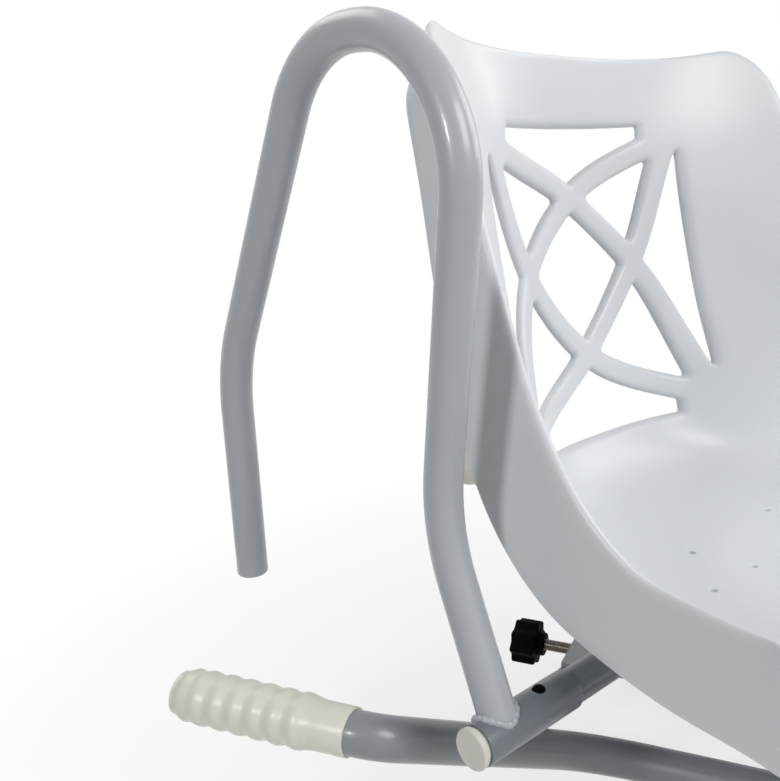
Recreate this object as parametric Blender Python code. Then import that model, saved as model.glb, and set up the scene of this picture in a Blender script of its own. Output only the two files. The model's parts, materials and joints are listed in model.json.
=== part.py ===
"""Swivel bath seat: a plastic bucket seat on a turntable, hung between the bath rims on two bent tubes.

Metres, +Z up. The origin is on the swivel axis, level with the bath rims on which the four grips rest.
The seat faces -Y. In names, left is -X, as seen from the front. The base is turned under the seat by
BASE_TURN, and its pieces are built square to it and then turned.
"""
import math

import bmesh
import bpy
import numpy as np
from mathutils import Matrix, Vector

# Clearance between touching pieces, and between a pin and its hole
GAP = 0.0003

# Turn of tube sections and button holes about their own axes, so that no two pieces' edges line up
TWIST = math.radians(7.0)

# Base: two bent tubes, their grips and the two cross rails
BASE_TURN = math.radians(25.0)
BASE_TUBE = 0.030
BOW_MIDDLE_X = 0.063
BOW_MIDDLE_HALF = 0.092
BOW_DROP = 0.112
GRIP_X = 0.238
BEND_Y = 0.194
GRIP_Y_END = 0.353
BOW_LOW_BEND = 0.080
BOW_HIGH_BEND = 0.030
GRIP_OUTER = BASE_TUBE + 2.0 * (GAP + 0.0037)
GRIP_VALLEY = BASE_TUBE + 2.0 * (GAP + 0.0028)
GRIP_NECK = BASE_TUBE + 2.0 * (GAP + 0.0012)
GRIP_LENGTH = 0.1415
GRIP_NECK_LENGTH = 0.030
GRIP_RIDGES = 6
GRIP_RIDGE_TOP = 0.3
GRIP_WALL_END = 0.005
BASE_TUBE_HEIGHT = GRIP_OUTER / 2.0
RAIL_WIDTH = 0.015
RAIL_HEIGHT = 0.025
RAIL_OUTER_Y = 0.125
RAIL_STRAIGHT_HALF = 0.048
RAIL_END_PAST = (0.0013, 0.006)
RAIL_TOP = -0.029

# Turntable: the plates, rings, bush and bolt on the swivel axis
BASE_PLATE_HALF_X = 0.048
BASE_PLATE_THICKNESS = 0.004
RING_OUTER = 0.090
RING_HEIGHT = 0.0058
LOWER_RING_HEIGHT = 0.0072
TURNTABLE_PLATE = (0.150, 0.110, 0.004)
BUSH_OUTER = 0.022
PIVOT_BOLT = 0.012
LOCK_DISC = 0.100
LOCK_DISC_HEIGHT = 0.010
WASHER = 0.0025

# Bolts, screws and nuts, as shares of the thread's diameter
HEX_ACROSS = 1.58
HEX_HEAD = 0.62
NUT_HEIGHT = 0.85

# Lock screw: a star knob on a threaded stud, and the pad on its tip
STUD = 0.010
STUD_TIP = 0.0035
KNOB_OUTER = 0.040
KNOB_LOBES = 8
KNOB_HOLLOW = 0.0028
KNOB_Y = RAIL_OUTER_Y + 0.0465
KNOB_THICKNESS = 0.022
KNOB_HUB = 0.006
KNOB_HUB_OUTER = 0.0216
LOCK_TRAVEL = 0.0115
PAD_SIZE = (0.016, 0.006)
PAD_SOCKET = 0.4

# Half the seat's width, on which the places of the armrest and the carrier's ends depend
SHELL_HALF = 0.200

# Armrest: one bent tube on a sleeve
ARM_TUBE = 0.025
ARM_TUBE_WALL = 0.002
ARM_X = SHELL_HALF + 0.0566
SLEEVE = ARM_TUBE + 2.0 * (GAP + 0.0012)
SLEEVE_OUTER_X = ARM_X + 0.0199
SLEEVE_INNER_X = ARM_X - 0.0636
SLEEVE_CAP = (SLEEVE - 0.0008, 0.0060)
CAP_STEM = 0.012
ARM_LEG_LEAN = (0.053, 0.1242)
ARM_TOP = (0.0162, 0.1703, 0.4208)
ARM_FREE_BEND = (0.303, 0.1814)
ARM_FREE_END = (0.3012, 0.002)
ARM_TOP_RADIUS = 0.0857
ARM_LEG_RADIUS = 0.139

# Seat carrier: the cross tube that takes the armrest, in two cradle plates
CARRIER_HEIGHT = 0.041
CARRIER_HALF = SLEEVE_OUTER_X - CAP_STEM - 0.0025
CRADLE_X = 0.066
CRADLE_DEPTH = 0.100
SHEET = 0.004
FLANGE = 0.022
BUTTON_X = ARM_X - 0.0346
BUTTON = 0.0085
BUTTON_STANDS = 0.0024
BUTTON_FLANGE = 0.0012
BUTTON_HOLE_DEPTH = 0.03
SPRING_LENGTH = 0.030
SPRING_LEAF = 0.0008

# Seat shell: stations from the front lip to the top edge. Each has the middle line, the rim and the
# skirt's lower edge as (y, height above the carrier's axis), how far its sides are in from SHELL_HALF
# and the section's power.
SHELL_WALL = 0.0062
SKIRT_FLARE = 0.013
STATIONS = [
    ((-0.255, 0.049), (-0.240, 0.072), (-0.250, 0.034), 0.050, 4.0),
    ((-0.215, 0.0545), (-0.226, 0.088), (-0.230, 0.036), 0.016, 4.5),
    ((-0.150, 0.055), (-0.188, 0.100), (-0.190, 0.038), 0.000, 5.0),
    ((0.000, 0.054), (-0.135, 0.102), (-0.136, 0.039), 0.000, 5.0),
    ((0.062, 0.057), (-0.100, 0.104), (-0.083, 0.042), 0.000, 4.4),
    ((0.105, 0.074), (-0.070, 0.1075), (-0.025, 0.055), 0.000, 3.6),
    ((0.130, 0.107), (-0.049, 0.115), (0.010, 0.070), 0.000, 2.8),
    ((0.143, 0.150), (-0.012, 0.144), (0.051, 0.107), 0.000, 2.4),
    ((0.154, 0.200), (0.025, 0.200), (0.084, 0.172), 0.000, 2.4),
    ((0.165, 0.258), (0.049, 0.258), (0.103, 0.258), 0.000, 2.4),
    ((0.1745, 0.325), (0.074, 0.325), (0.116, 0.330), 0.000, 2.4),
    ((0.177, 0.380), (0.095, 0.381), (0.127, 0.376), 0.000, 2.4),
    ((0.1766, 0.4168), (0.124, 0.435), (0.136, 0.405), 0.003, 2.8),
]
TOP_LIP = (0.014, -0.010)
FRONT_LIP = (-0.006, -0.027)
LIP_CORNER_POWER = 6
ROLL_LIFT = 0.007
ROLL_OUT = 0.010
ROLL_DROP = 0.004
SKIRT_STEPS = (0.18, 0.38, 0.62, 1.0)
SHELL_ROWS = 29
SHELL_COLUMNS = 23
COLUMN_BUNCHING = 0.35

# Lattice in the back, as (x, height above the carrier's axis)
LATTICE_TOP_JOINT = (0.112, 0.357)
LATTICE_TOP_NODE = 0.3090
LATTICE_SIDE_NODE = (0.0665, 0.2475)
LATTICE_LOW_NODE = 0.1715
LATTICE_LOW_JOINT = (0.121, 0.110)
LATTICE_BAR = 0.0215
LATTICE_CORNER = 0.005
WINDOW_TOP = 0.368
WINDOW_TOP_HALF = 0.082
WINDOW_LOW = 0.099
WINDOW_LOW_HALF = 0.091
WINDOW_SIDE_TOP = (0.121, 0.345)
WINDOW_SIDE_LOW = (0.125, 0.156)
CUT_LEAN = math.radians(10.0)
CUT_MIDDLE_Y = 0.16
CUT_REACH = (-0.06, 0.03)
DRAIN_HOLE = 0.005
DRAIN_SPOTS = [(0.056, -0.003), (0.042, -0.049), (0.096, -0.049)]

# Seat screws and the bosses that take them
BOSS = 0.020
BOSS_FACE = CARRIER_HEIGHT + 0.039
BOSS_Y = 0.038
SCREW = 0.005
SCREW_LENGTH = 0.016

COLOURS = {
    "grey_enamel": ((0.43, 0.46, 0.50), 0.35, 0.0),
    "dark_grey_enamel": ((0.24, 0.26, 0.29), 0.38, 0.0),
    "seat_plastic": ((0.80, 0.83, 0.87), 0.30, 0.0),
    "ivory_vinyl": ((0.72, 0.71, 0.60), 0.45, 0.0),
    "ivory_plastic": ((0.62, 0.59, 0.53), 0.45, 0.0),
    "black_plastic": ((0.012, 0.012, 0.014), 0.40, 0.0),
    "zinc_steel": ((0.45, 0.45, 0.44), 0.38, 1.0),
    "nylon": ((0.70, 0.69, 0.64), 0.50, 0.0),
}


def remove_everything():
    for item in list(bpy.data.objects):
        bpy.data.objects.remove(item, do_unlink=True)


def material_for(slot):
    colour, roughness, metallic = COLOURS[slot]
    material = bpy.data.materials.get(slot) or bpy.data.materials.new(slot)
    material.use_nodes = True
    shader = material.node_tree.nodes["Principled BSDF"]
    shader.inputs["Base Color"].default_value = (*colour, 1.0)
    shader.inputs["Roughness"].default_value = roughness
    shader.inputs["Metallic"].default_value = metallic
    return material


def add_piece(name, shape, slot, parent=None, place=(0.0, 0.0, 0.0), sharp=35.0):
    """Turns a bmesh into a named object with its own material."""
    bmesh.ops.recalc_face_normals(shape, faces=shape.faces[:])
    mesh = bpy.data.meshes.new(name)
    shape.to_mesh(mesh)
    shape.free()
    mesh.materials.append(material_for(slot))
    mesh.shade_smooth()
    mesh.set_sharp_from_angle(angle=math.radians(sharp))
    piece = bpy.data.objects.new(name, mesh)
    piece.parent = parent
    piece.location = place
    bpy.context.scene.collection.objects.link(piece)
    return piece


def add_guide(name, shape, parent=None, place=(0.0, 0.0, 0.0)):
    """A cutter or an addition that only lends its shape to another object."""
    guide = add_piece(name, shape, "zinc_steel", parent, place)
    guide.hide_render = True
    guide.display_type = "WIRE"
    return guide


def combine(piece, guide, operation="DIFFERENCE"):
    change = piece.modifiers.new(guide.name, "BOOLEAN")
    change.operation = operation
    change.solver = "EXACT"
    change.object = guide
    return change


def soften(piece, width, segments=2, angle=40.0):
    edge = piece.modifiers.new("rounded edges", "BEVEL")
    edge.width = width
    edge.segments = segments
    edge.limit_method = "ANGLE"
    edge.angle_limit = math.radians(angle)
    edge.harden_normals = False
    return edge


def block(size, centre=(0.0, 0.0, 0.0)):
    shape = bmesh.new()
    bmesh.ops.create_cube(shape, size=1.0, matrix=Matrix.Translation(centre) @ Matrix.Diagonal((*size, 1.0)))
    return shape


def turned(profile, sides=32, axis="Z"):
    """A closed solid turned from (radius, height) points; points on the axis have a radius of zero."""
    shape = bmesh.new()
    rings = []
    for radius, height in profile:
        if radius < 1e-7:
            rings.append([shape.verts.new((0.0, 0.0, height))])
            continue
        angles = [2.0 * math.pi * k / sides for k in range(sides)]
        rings.append([shape.verts.new((radius * math.cos(a), radius * math.sin(a), height)) for a in angles])
    hollow = len(rings[0]) > 1 and len(rings[-1]) > 1
    pairs = list(zip(rings, rings[1:]))
    if hollow:
        pairs.append((rings[-1], rings[0]))
    for low, high in pairs:
        for k in range(sides):
            n = (k + 1) % sides
            corners = [low[k % len(low)], low[n % len(low)], high[n % len(high)], high[k % len(high)]]
            unique = list(dict.fromkeys(corners))
            if len(unique) > 2:
                shape.faces.new(unique)
    if axis == "X":
        bmesh.ops.rotate(shape, verts=shape.verts[:], matrix=Matrix.Rotation(math.radians(90.0), 3, "Y"))
    if axis == "Y":
        bmesh.ops.rotate(shape, verts=shape.verts[:], matrix=Matrix.Rotation(math.radians(-90.0), 3, "X"))
    return shape


def rod(radius, low, high, sides=32, axis="Z", chamfer=0.0):
    c = chamfer
    if c > 0.0:
        wall = [(radius - c, low), (radius, low + c), (radius, high - c), (radius - c, high)]
    else:
        wall = [(radius, low), (radius, high)]
    return turned([(0.0, low), *wall, (0.0, high)], sides, axis)


def pipe(outer, inner, low, high, sides=32, axis="Z"):
    return turned([(inner, low), (outer, low), (outer, high), (inner, high)], sides, axis)


def prism(outline, low, high):
    """A straight prism with a flat outline in X and Y."""
    shape = bmesh.new()
    bottom = [shape.verts.new((x, y, low)) for x, y in outline]
    top = [shape.verts.new((x, y, high)) for x, y in outline]
    shape.faces.new(bottom[::-1])
    shape.faces.new(top)
    for k in range(len(outline)):
        n = (k + 1) % len(outline)
        shape.faces.new([bottom[k], bottom[n], top[n], top[k]])
    return shape


def hexagon(across_flats, low, high):
    radius = across_flats / math.sqrt(3.0)
    return prism([(radius * math.cos(math.pi * k / 3.0), radius * math.sin(math.pi * k / 3.0))
                  for k in range(6)], low, high)


def bent_line(corners, radii, arc_step=math.radians(10.0)):
    """A line through the corners, with an arc of the given radius in each inner corner."""
    points = [Vector(corners[0])]
    for k in range(1, len(corners) - 1):
        before, here, after = (Vector(corners[k + d]) for d in (-1, 0, 1))
        a = (before - here).normalized()
        b = (after - here).normalized()
        turn = math.pi - a.angle(b)
        radius = radii[k - 1]
        reach = radius * math.tan(turn / 2.0)
        centre = here + (a + b).normalized() * (radius / math.cos(turn / 2.0))
        start = here + a * reach - centre
        axis = start.cross(here + b * reach - centre).normalized()
        steps = max(2, math.ceil(turn / arc_step))
        for s in range(steps + 1):
            points.append(centre + Matrix.Rotation(turn * s / steps, 3, axis) @ start)
    points.append(Vector(corners[-1]))
    return points


def swept_tube(points, radius, sides=16, dome=0.0):
    """A solid round bar along the points; a dome rounds its last end. No side faces straight along an axis."""
    shape = bmesh.new()
    stations = [(p, radius) for p in points]
    if dome > 0.0:
        way = (points[-1] - points[-2]).normalized()
        start = points[-1] - way * dome
        stations[-1] = (start, radius)
        for k in range(1, 4):
            angle = math.pi / 2.0 * k / 4.0
            stations.append((start + way * dome * math.sin(angle), radius - dome * (1.0 - math.cos(angle))))
        stations.append((points[-1], radius - dome))
    tangent = (points[1] - points[0]).normalized()
    side = Matrix.Rotation(TWIST, 3, tangent) @ tangent.orthogonal().normalized()
    rings = []
    for k, (place, size) in enumerate(stations):
        ahead = stations[min(k + 1, len(stations) - 1)][0]
        behind = stations[max(k - 1, 0)][0]
        fresh = (ahead - behind).normalized()
        side = tangent.rotation_difference(fresh) @ side
        tangent = fresh
        up = tangent.cross(side)
        rings.append([shape.verts.new(place + (side * math.cos(a) + up * math.sin(a)) * size)
                      for a in (2.0 * math.pi * n / sides for n in range(sides))])
    for low, high in zip(rings, rings[1:]):
        for k in range(sides):
            n = (k + 1) % sides
            shape.faces.new([low[k], low[n], high[n], high[k]])
    shape.faces.new(rings[0][::-1])
    shape.faces.new(rings[-1])
    return shape


def smooth_through(values, where, spots):
    """Reads a smooth curve through the values, given at the places in where, at each spot."""
    values = np.array(values, float)
    where = np.array(where, float)
    slopes = np.gradient(values, where, axis=0)
    result = []
    for spot in spots:
        k = int(np.clip(np.searchsorted(where, spot) - 1, 0, len(where) - 2))
        span = where[k + 1] - where[k]
        u = (spot - where[k]) / span
        a = 2 * u ** 3 - 3 * u ** 2 + 1
        b = u ** 3 - 2 * u ** 2 + u
        c = -2 * u ** 3 + 3 * u ** 2
        d = u ** 3 - u ** 2
        result.append(a * values[k] + b * span * slopes[k] + c * values[k + 1] + d * span * slopes[k + 1])
    return np.array(result)


def shell_rows(count):
    """Middle line, rim, skirt edge, inset and power at evenly spaced places along the middle line."""
    middle = np.array([s[0] for s in STATIONS])
    lengths = np.concatenate([[0.0], np.cumsum(np.hypot(*np.diff(middle, axis=0).T))])
    table = np.array([[*s[0], *s[1], *s[2], s[3], s[4]] for s in STATIONS])
    return smooth_through(table, lengths, np.linspace(0.0, lengths[-1], count))


def shell_grid(rows, columns):
    """Points of the seat's inner face, row by row from the front lip to the top edge."""
    grid = np.zeros((rows, columns, 3))
    for i, (my, mz, ry, rz, _, _, inset, power) in enumerate(shell_rows(rows)):
        for j, u in enumerate(np.linspace(-1.0, 1.0, columns)):
            t = math.sin(u * math.pi / 2.0) * COLUMN_BUNCHING + u * (1.0 - COLUMN_BUNCHING)
            rise = abs(t) ** power
            x = (SHELL_HALF - inset) * t
            grid[i, j] = (x, my + (ry - my) * rise, CARRIER_HEIGHT + mz + (rz - mz) * rise)
    return grid


def skirt_edge(grid):
    """For each border point of the grid, its index, its outward step and its point on the skirt's edge."""
    rows, columns = grid.shape[:2]
    edge = shell_rows(rows)
    border = []
    loop = ([(0, j) for j in range(columns)] + [(i, columns - 1) for i in range(1, rows)]
            + [(rows - 1, j) for j in range(columns - 2, -1, -1)] + [(i, 0) for i in range(rows - 2, 0, -1)])
    for i, j in loop:
        here = Vector(grid[i, j])
        side = 1.0 if j > columns / 2 else -1.0
        target = Vector((here.x + side * SKIRT_FLARE, edge[i][4], CARRIER_HEIGHT + edge[i][5]))
        inner = grid[i, j - int(side)]
        if i in (0, rows - 1):
            lip = Vector((0.0, *(FRONT_LIP if i == 0 else TOP_LIP)))
            corner = (abs(here.x) / (SHELL_HALF - edge[i][6])) ** LIP_CORNER_POWER
            target = (here + lip).lerp(target, corner)
            if j not in (0, columns - 1):
                inner = grid[1 if i == 0 else rows - 2, j]
        border.append(((i, j), (here - Vector(inner)).normalized(), target))
    return border


def shell_surface(rows, columns, roll):
    """The seat's face and its skirt as one open sheet, without thickness."""
    grid = shell_grid(rows, columns)
    shape = bmesh.new()
    points = [[shape.verts.new(grid[i, j]) for j in range(columns)] for i in range(rows)]
    for i in range(rows - 1):
        for j in range(columns - 1):
            shape.faces.new([points[i][j], points[i][j + 1], points[i + 1][j + 1], points[i + 1][j]])
    border = skirt_edge(grid)
    rings = [[points[i][j] for (i, j), _, _ in border]]
    for u in roll:
        ring = []
        for (i, j), out, target in border:
            start = Vector(grid[i, j])
            fall = target - start
            flat = Vector((out.x, out.y, 0.0))
            knee = start + flat * ROLL_OUT + fall.normalized() * ROLL_DROP
            lift = start + out * ROLL_LIFT
            place = (start * (1 - u) ** 3 + lift * 3 * u * (1 - u) ** 2 + knee * 3 * u * u * (1 - u)
                     + target * u ** 3)
            ring.append(shape.verts.new(place))
        rings.append(ring)
    for near, far in zip(rings, rings[1:]):
        for k in range(len(near)):
            n = (k + 1) % len(near)
            shape.faces.new([near[n], near[k], far[k], far[n]])
    return shape


def thicken(shape, wall):
    """Gives an open sheet a wall on its lower side, as one closed solid."""
    shape.normal_update()
    front = shape.verts[:]
    shape.verts.index_update()
    faces = [[v.index for v in f.verts] for f in shape.faces]
    border = [(e.verts[0].index, e.verts[1].index) for e in shape.edges if e.is_boundary]
    back = [shape.verts.new(v.co - v.normal * wall) for v in front]
    for face in faces:
        shape.faces.new([back[k] for k in reversed(face)])
    for a, b in border:
        shape.faces.new([front[a], front[b], back[b], back[a]])
    return shape


def lattice_bars():
    """Middle lines of the four curved bars: two, and their mirror images."""
    tx, tz = LATTICE_TOP_JOINT
    sx, sz = LATTICE_SIDE_NODE
    lx, lz = LATTICE_LOW_JOINT
    upper = [(-tx, tz), (0.0, LATTICE_TOP_NODE), (sx, sz), (lx, lz)]
    lower = [(-tx, tz), (-sx, sz), (0.0, LATTICE_LOW_NODE), (lx, lz)]
    lines = []
    for corners in (upper, lower):
        corners = np.array(corners)
        lengths = np.concatenate([[0.0], np.cumsum(np.hypot(*np.diff(corners, axis=0).T))])
        curve = smooth_through(corners, lengths, np.linspace(0.0, lengths[-1], 56))
        first = curve[0] + (curve[0] - curve[1]) * 12.0
        last = curve[-1] + (curve[-1] - curve[-2]) * 12.0
        curve = np.vstack([first, curve, last])
        lines.append(curve)
        lines.append(curve * [-1.0, 1.0])
    return lines


def offset_line(line, distance):
    """The line moved to its left by the distance."""
    along = np.gradient(line, axis=0)
    along /= np.hypot(*along.T)[:, None]
    return line + np.stack([-along[:, 1], along[:, 0]], 1) * distance


def line_crossing(first, second, near):
    """Where two lines of points cross, nearest to the given point: the point and its place on each line."""
    best = None
    for i in range(len(first) - 1):
        a, b = first[i], first[i + 1]
        for j in range(len(second) - 1):
            c, d = second[j], second[j + 1]
            m = np.array([b - a, c - d]).T
            if abs(np.linalg.det(m)) < 1e-12:
                continue
            u, v = np.linalg.solve(m, c - a)
            if -1e-9 <= u <= 1.0 + 1e-9 and -1e-9 <= v <= 1.0 + 1e-9:
                spot = a + (b - a) * u
                gap = np.hypot(*(spot - near))
                if best is None or gap < best[0]:
                    best = (gap, spot, i + u, j + v)
    if best is None:
        raise ValueError(f"two sides of an opening don't meet near {near}")
    return best[1:]


def stretch(line, start, end, count=17):
    """Points of a line between two places given as running indices."""
    at = np.linspace(start, end, count)
    index = np.arange(len(line))
    return np.stack([np.interp(at, index, line[:, n]) for n in (0, 1)], 1)


def side_length(side):
    return float(np.sum(np.hypot(*np.diff(side, axis=0).T)))


def point_along(side, distance):
    """The point at a distance along a side."""
    run = np.concatenate([[0.0], np.cumsum(np.hypot(*np.diff(side, axis=0).T))])
    return np.array([np.interp(distance, run, side[:, n]) for n in (0, 1)])


def rounded(loop, radius, arc_steps=4, side_steps=4):
    """Rounds the corners of a closed loop given as a list of sides, each an array of points."""
    lengths = [side_length(side) for side in loop]
    reaches = []
    for k, side in enumerate(loop):
        before = loop[k - 1]
        a = before[-2] - before[-1]
        b = side[1] - side[0]
        half = math.acos(np.clip(a @ b / np.hypot(*a) / np.hypot(*b), -1.0, 1.0)) / 2.0
        reaches.append(min(radius / math.tan(half), 0.45 * lengths[k - 1], 0.45 * lengths[k]))
    points = []
    for k, side in enumerate(loop):
        reach, next_reach = reaches[k], reaches[(k + 1) % len(loop)]
        start = point_along(loop[k - 1], lengths[k - 1] - reach)
        corner, end = side[0], point_along(side, reach)
        for u in np.linspace(0.0, 1.0, arc_steps):
            points.append(start * (1 - u) ** 2 + corner * 2 * u * (1 - u) + end * u * u)
        spots = np.linspace(reach, lengths[k] - next_reach, side_steps + 2)[1:-1]
        points += [point_along(side, spot) for spot in spots]
    return points


def lattice_openings():
    """Outlines of the openings in the back, each bounded by bar edges and the window's straight sides."""
    upper, upper_mirror, lower, lower_mirror = lattice_bars()
    half = LATTICE_BAR / 2.0
    top = np.array([[-SHELL_HALF, WINDOW_TOP], [SHELL_HALF, WINDOW_TOP]])
    low = np.array([[-SHELL_HALF, WINDOW_LOW], [SHELL_HALF, WINDOW_LOW]])
    top_end = np.array([[WINDOW_TOP_HALF, WINDOW_TOP - 0.1], [WINDOW_TOP_HALF, WINDOW_TOP + 0.1]])
    low_end = np.array([[WINDOW_LOW_HALF, WINDOW_LOW - 0.1], [WINDOW_LOW_HALF, WINDOW_LOW + 0.1]])
    side_top = np.array(WINDOW_SIDE_TOP)
    side_low = np.array(WINDOW_SIDE_LOW)
    reach = (side_top - side_low) * 0.5
    side = np.array([side_low - reach, side_top + reach])
    n1, n4 = np.array([0.0, LATTICE_TOP_NODE]), np.array([0.0, LATTICE_LOW_NODE])
    n3 = np.array(LATTICE_SIDE_NODE)
    n2 = n3 * [-1, 1]
    tr, br = np.array(LATTICE_TOP_JOINT), np.array(LATTICE_LOW_JOINT)
    tl, bl = tr * [-1, 1], br * [-1, 1]
    # Each opening lists its sides as (line, offset to the opening's side), the points its corners are near
    # and whether it has a mirror image.
    return [
        ([(top, 0), (top_end * [-1, 1], 0), (upper, half), (upper_mirror, -half), (top_end, 0)],
         [tr, tl, tl, n1, tr], False),
        ([(upper_mirror, half), (upper, half), (lower_mirror, -half)], [tr, n1, n3], True),
        ([(lower_mirror, half), (upper, half), (side, 0)], [tr, n3, br], True),
        ([(upper, -half), (lower_mirror, -half), (lower, half), (upper_mirror, half)],
         [n1, n3, n4, n2], False),
        ([(upper, -half), (lower, half), (lower_mirror, half)], [n3, br, n4], True),
        ([(lower, -half), (low_end, 0), (low, 0), (low_end * [-1, 1], 0), (lower_mirror, half)],
         [n4, br, br, bl, bl], False),
    ]


def opening_outline(sides, corners, radius):
    """The closed outline of one opening: side k runs from corner k to corner k + 1."""
    lines = [offset_line(np.array(line, float), shift) if shift else np.array(line, float)
             for line, shift in sides]
    count = len(lines)
    spots = [line_crossing(lines[k - 1], lines[k], corners[k]) for k in range(count)]
    loop = []
    for k in range(count):
        start = spots[k][2]
        end = spots[(k + 1) % count][1]
        loop.append(stretch(lines[k], start, end))
    return rounded(loop, radius)


def window_prism(outline):
    """A prism through the back, square to it, whose outline is given in x and height."""
    shape = bmesh.new()
    way = Vector((0.0, math.cos(CUT_LEAN), -math.sin(CUT_LEAN)))
    near, far = [], []
    for x, z in outline:
        centre = Vector((x, CUT_MIDDLE_Y, CARRIER_HEIGHT + z))
        near.append(shape.verts.new(centre + way * CUT_REACH[0]))
        far.append(shape.verts.new(centre + way * CUT_REACH[1]))
    shape.faces.new(near)
    shape.faces.new(far[::-1])
    for k in range(len(near)):
        n = (k + 1) % len(near)
        shape.faces.new([near[n], near[k], far[k], far[n]])
    return shape


def make_shell():
    """The bucket seat: one moulding with lattice openings, drain holes and four bosses under the pan."""
    shape = thicken(shell_surface(SHELL_ROWS, SHELL_COLUMNS, SKIRT_STEPS), SHELL_WALL)
    shell = add_piece("seat_shell", shape, "seat_plastic")
    cutters = bmesh.new()
    for sides, corners, mirrored in lattice_openings():
        outline = opening_outline(sides, corners, LATTICE_CORNER)
        add_copy(cutters, window_prism(outline))
        if mirrored:
            add_copy(cutters, window_prism([(-x, z) for x, z in outline]))
    pan_low = CARRIER_HEIGHT + STATIONS[3][0][1] - SHELL_WALL
    for x, y in DRAIN_SPOTS:
        for side in (-1.0, 1.0):
            hole = rod(DRAIN_HOLE / 2.0, pan_low - 0.01, pan_low + 0.03, 12)
            bmesh.ops.translate(hole, verts=hole.verts[:], vec=(side * x, y, 0.0))
            add_copy(cutters, hole)
    bosses = bmesh.new()
    holes = bmesh.new()
    for x, y in screw_spots():
        boss = rod(BOSS / 2.0, BOSS_FACE, pan_low + SHELL_WALL / 2.0, 20)
        hole = rod(SCREW / 2.0 + GAP, BOSS_FACE - 0.001, BOSS_FACE + SCREW_LENGTH - SHEET, 12)
        for piece, group in ((boss, bosses), (hole, holes)):
            bmesh.ops.translate(piece, verts=piece.verts[:], vec=(x, y, 0.0))
            add_copy(group, piece)
    combine(shell, add_guide("boss_guide", bosses), "UNION")
    combine(shell, add_guide("opening_guide", cutters))
    combine(shell, add_guide("boss_hole_guide", holes))
    return shell


def add_copy(target, source):
    """Adds the source's shape to the target and frees the source."""
    made = {v: target.verts.new(v.co) for v in source.verts}
    for face in source.faces:
        target.faces.new([made[v] for v in face.verts])
    source.free()


def screw_spots():
    x = CRADLE_X + SHEET / 2.0 + FLANGE / 2.0
    return [(sx * x, sy * BOSS_Y) for sx in (-1.0, 1.0) for sy in (-1.0, 1.0)]


def bow_line(side):
    """Middle line of one bent base tube, from grip to grip."""
    grip = BASE_TUBE_HEIGHT
    corners = [(side * GRIP_X, -GRIP_Y_END + GRIP_WALL_END, grip),
               (side * GRIP_X, -BEND_Y, grip),
               (side * BOW_MIDDLE_X, -BOW_MIDDLE_HALF, grip - BOW_DROP),
               (side * BOW_MIDDLE_X, BOW_MIDDLE_HALF, grip - BOW_DROP),
               (side * GRIP_X, BEND_Y, grip),
               (side * GRIP_X, GRIP_Y_END - GRIP_WALL_END, grip)]
    return bent_line(corners, [BOW_HIGH_BEND, BOW_LOW_BEND, BOW_LOW_BEND, BOW_HIGH_BEND])


def make_base_tube(name, side, base):
    return add_piece(name, swept_tube(bow_line(side), BASE_TUBE / 2.0), "dark_grey_enamel", base)


def grip_profile():
    """Outer profile of a grip as (radius, distance from its open end), then its bore."""
    neck = GRIP_NECK / 2.0
    crest = GRIP_OUTER / 2.0
    valley = GRIP_VALLEY / 2.0
    bore = BASE_TUBE / 2.0 + GAP
    pitch = (GRIP_LENGTH - GRIP_NECK_LENGTH - crest) / GRIP_RIDGES
    profile = [(bore, 0.0), (neck, 0.0), (neck, GRIP_NECK_LENGTH - 0.004)]
    for k in range(GRIP_RIDGES):
        start = GRIP_NECK_LENGTH + k * pitch
        profile += [(valley, start), (crest, start + pitch * (0.5 - GRIP_RIDGE_TOP / 2.0)),
                    (crest, start + pitch * (0.5 + GRIP_RIDGE_TOP / 2.0))]
    centre = GRIP_LENGTH - crest
    for k in range(5):
        angle = math.pi / 2.0 * k / 5.0
        profile.append((crest * math.cos(angle), centre + crest * math.sin(angle)))
    profile += [(0.0, GRIP_LENGTH), (0.0, GRIP_LENGTH - GRIP_WALL_END + GAP),
                (bore, GRIP_LENGTH - GRIP_WALL_END + GAP)]
    return profile


def make_grips(base):
    names = {(-1, -1): "grip_left_front", (-1, 1): "grip_left_rear",
             (1, -1): "grip_right_front", (1, 1): "grip_right_rear"}
    for (sx, sy), name in names.items():
        shape = turned(grip_profile(), 16)
        turn = Matrix.Rotation(math.radians(-90.0 * sy), 3, "X")
        bmesh.ops.rotate(shape, verts=shape.verts[:], matrix=turn)
        place = (sx * GRIP_X, sy * (GRIP_Y_END - GRIP_LENGTH), BASE_TUBE_HEIGHT)
        add_piece(name, shape, "ivory_vinyl", base, place)


def rail_end():
    """Where a rail's middle line ends: just past the rising part of the bow, at the rail's height."""
    rise = 1.0 - (BASE_TUBE_HEIGHT - lock_height()) / BOW_DROP
    return (BOW_MIDDLE_X + rise * (GRIP_X - BOW_MIDDLE_X) + RAIL_END_PAST[0],
            BOW_MIDDLE_HALF + rise * (BEND_Y - BOW_MIDDLE_HALF) + RAIL_END_PAST[1])


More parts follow.
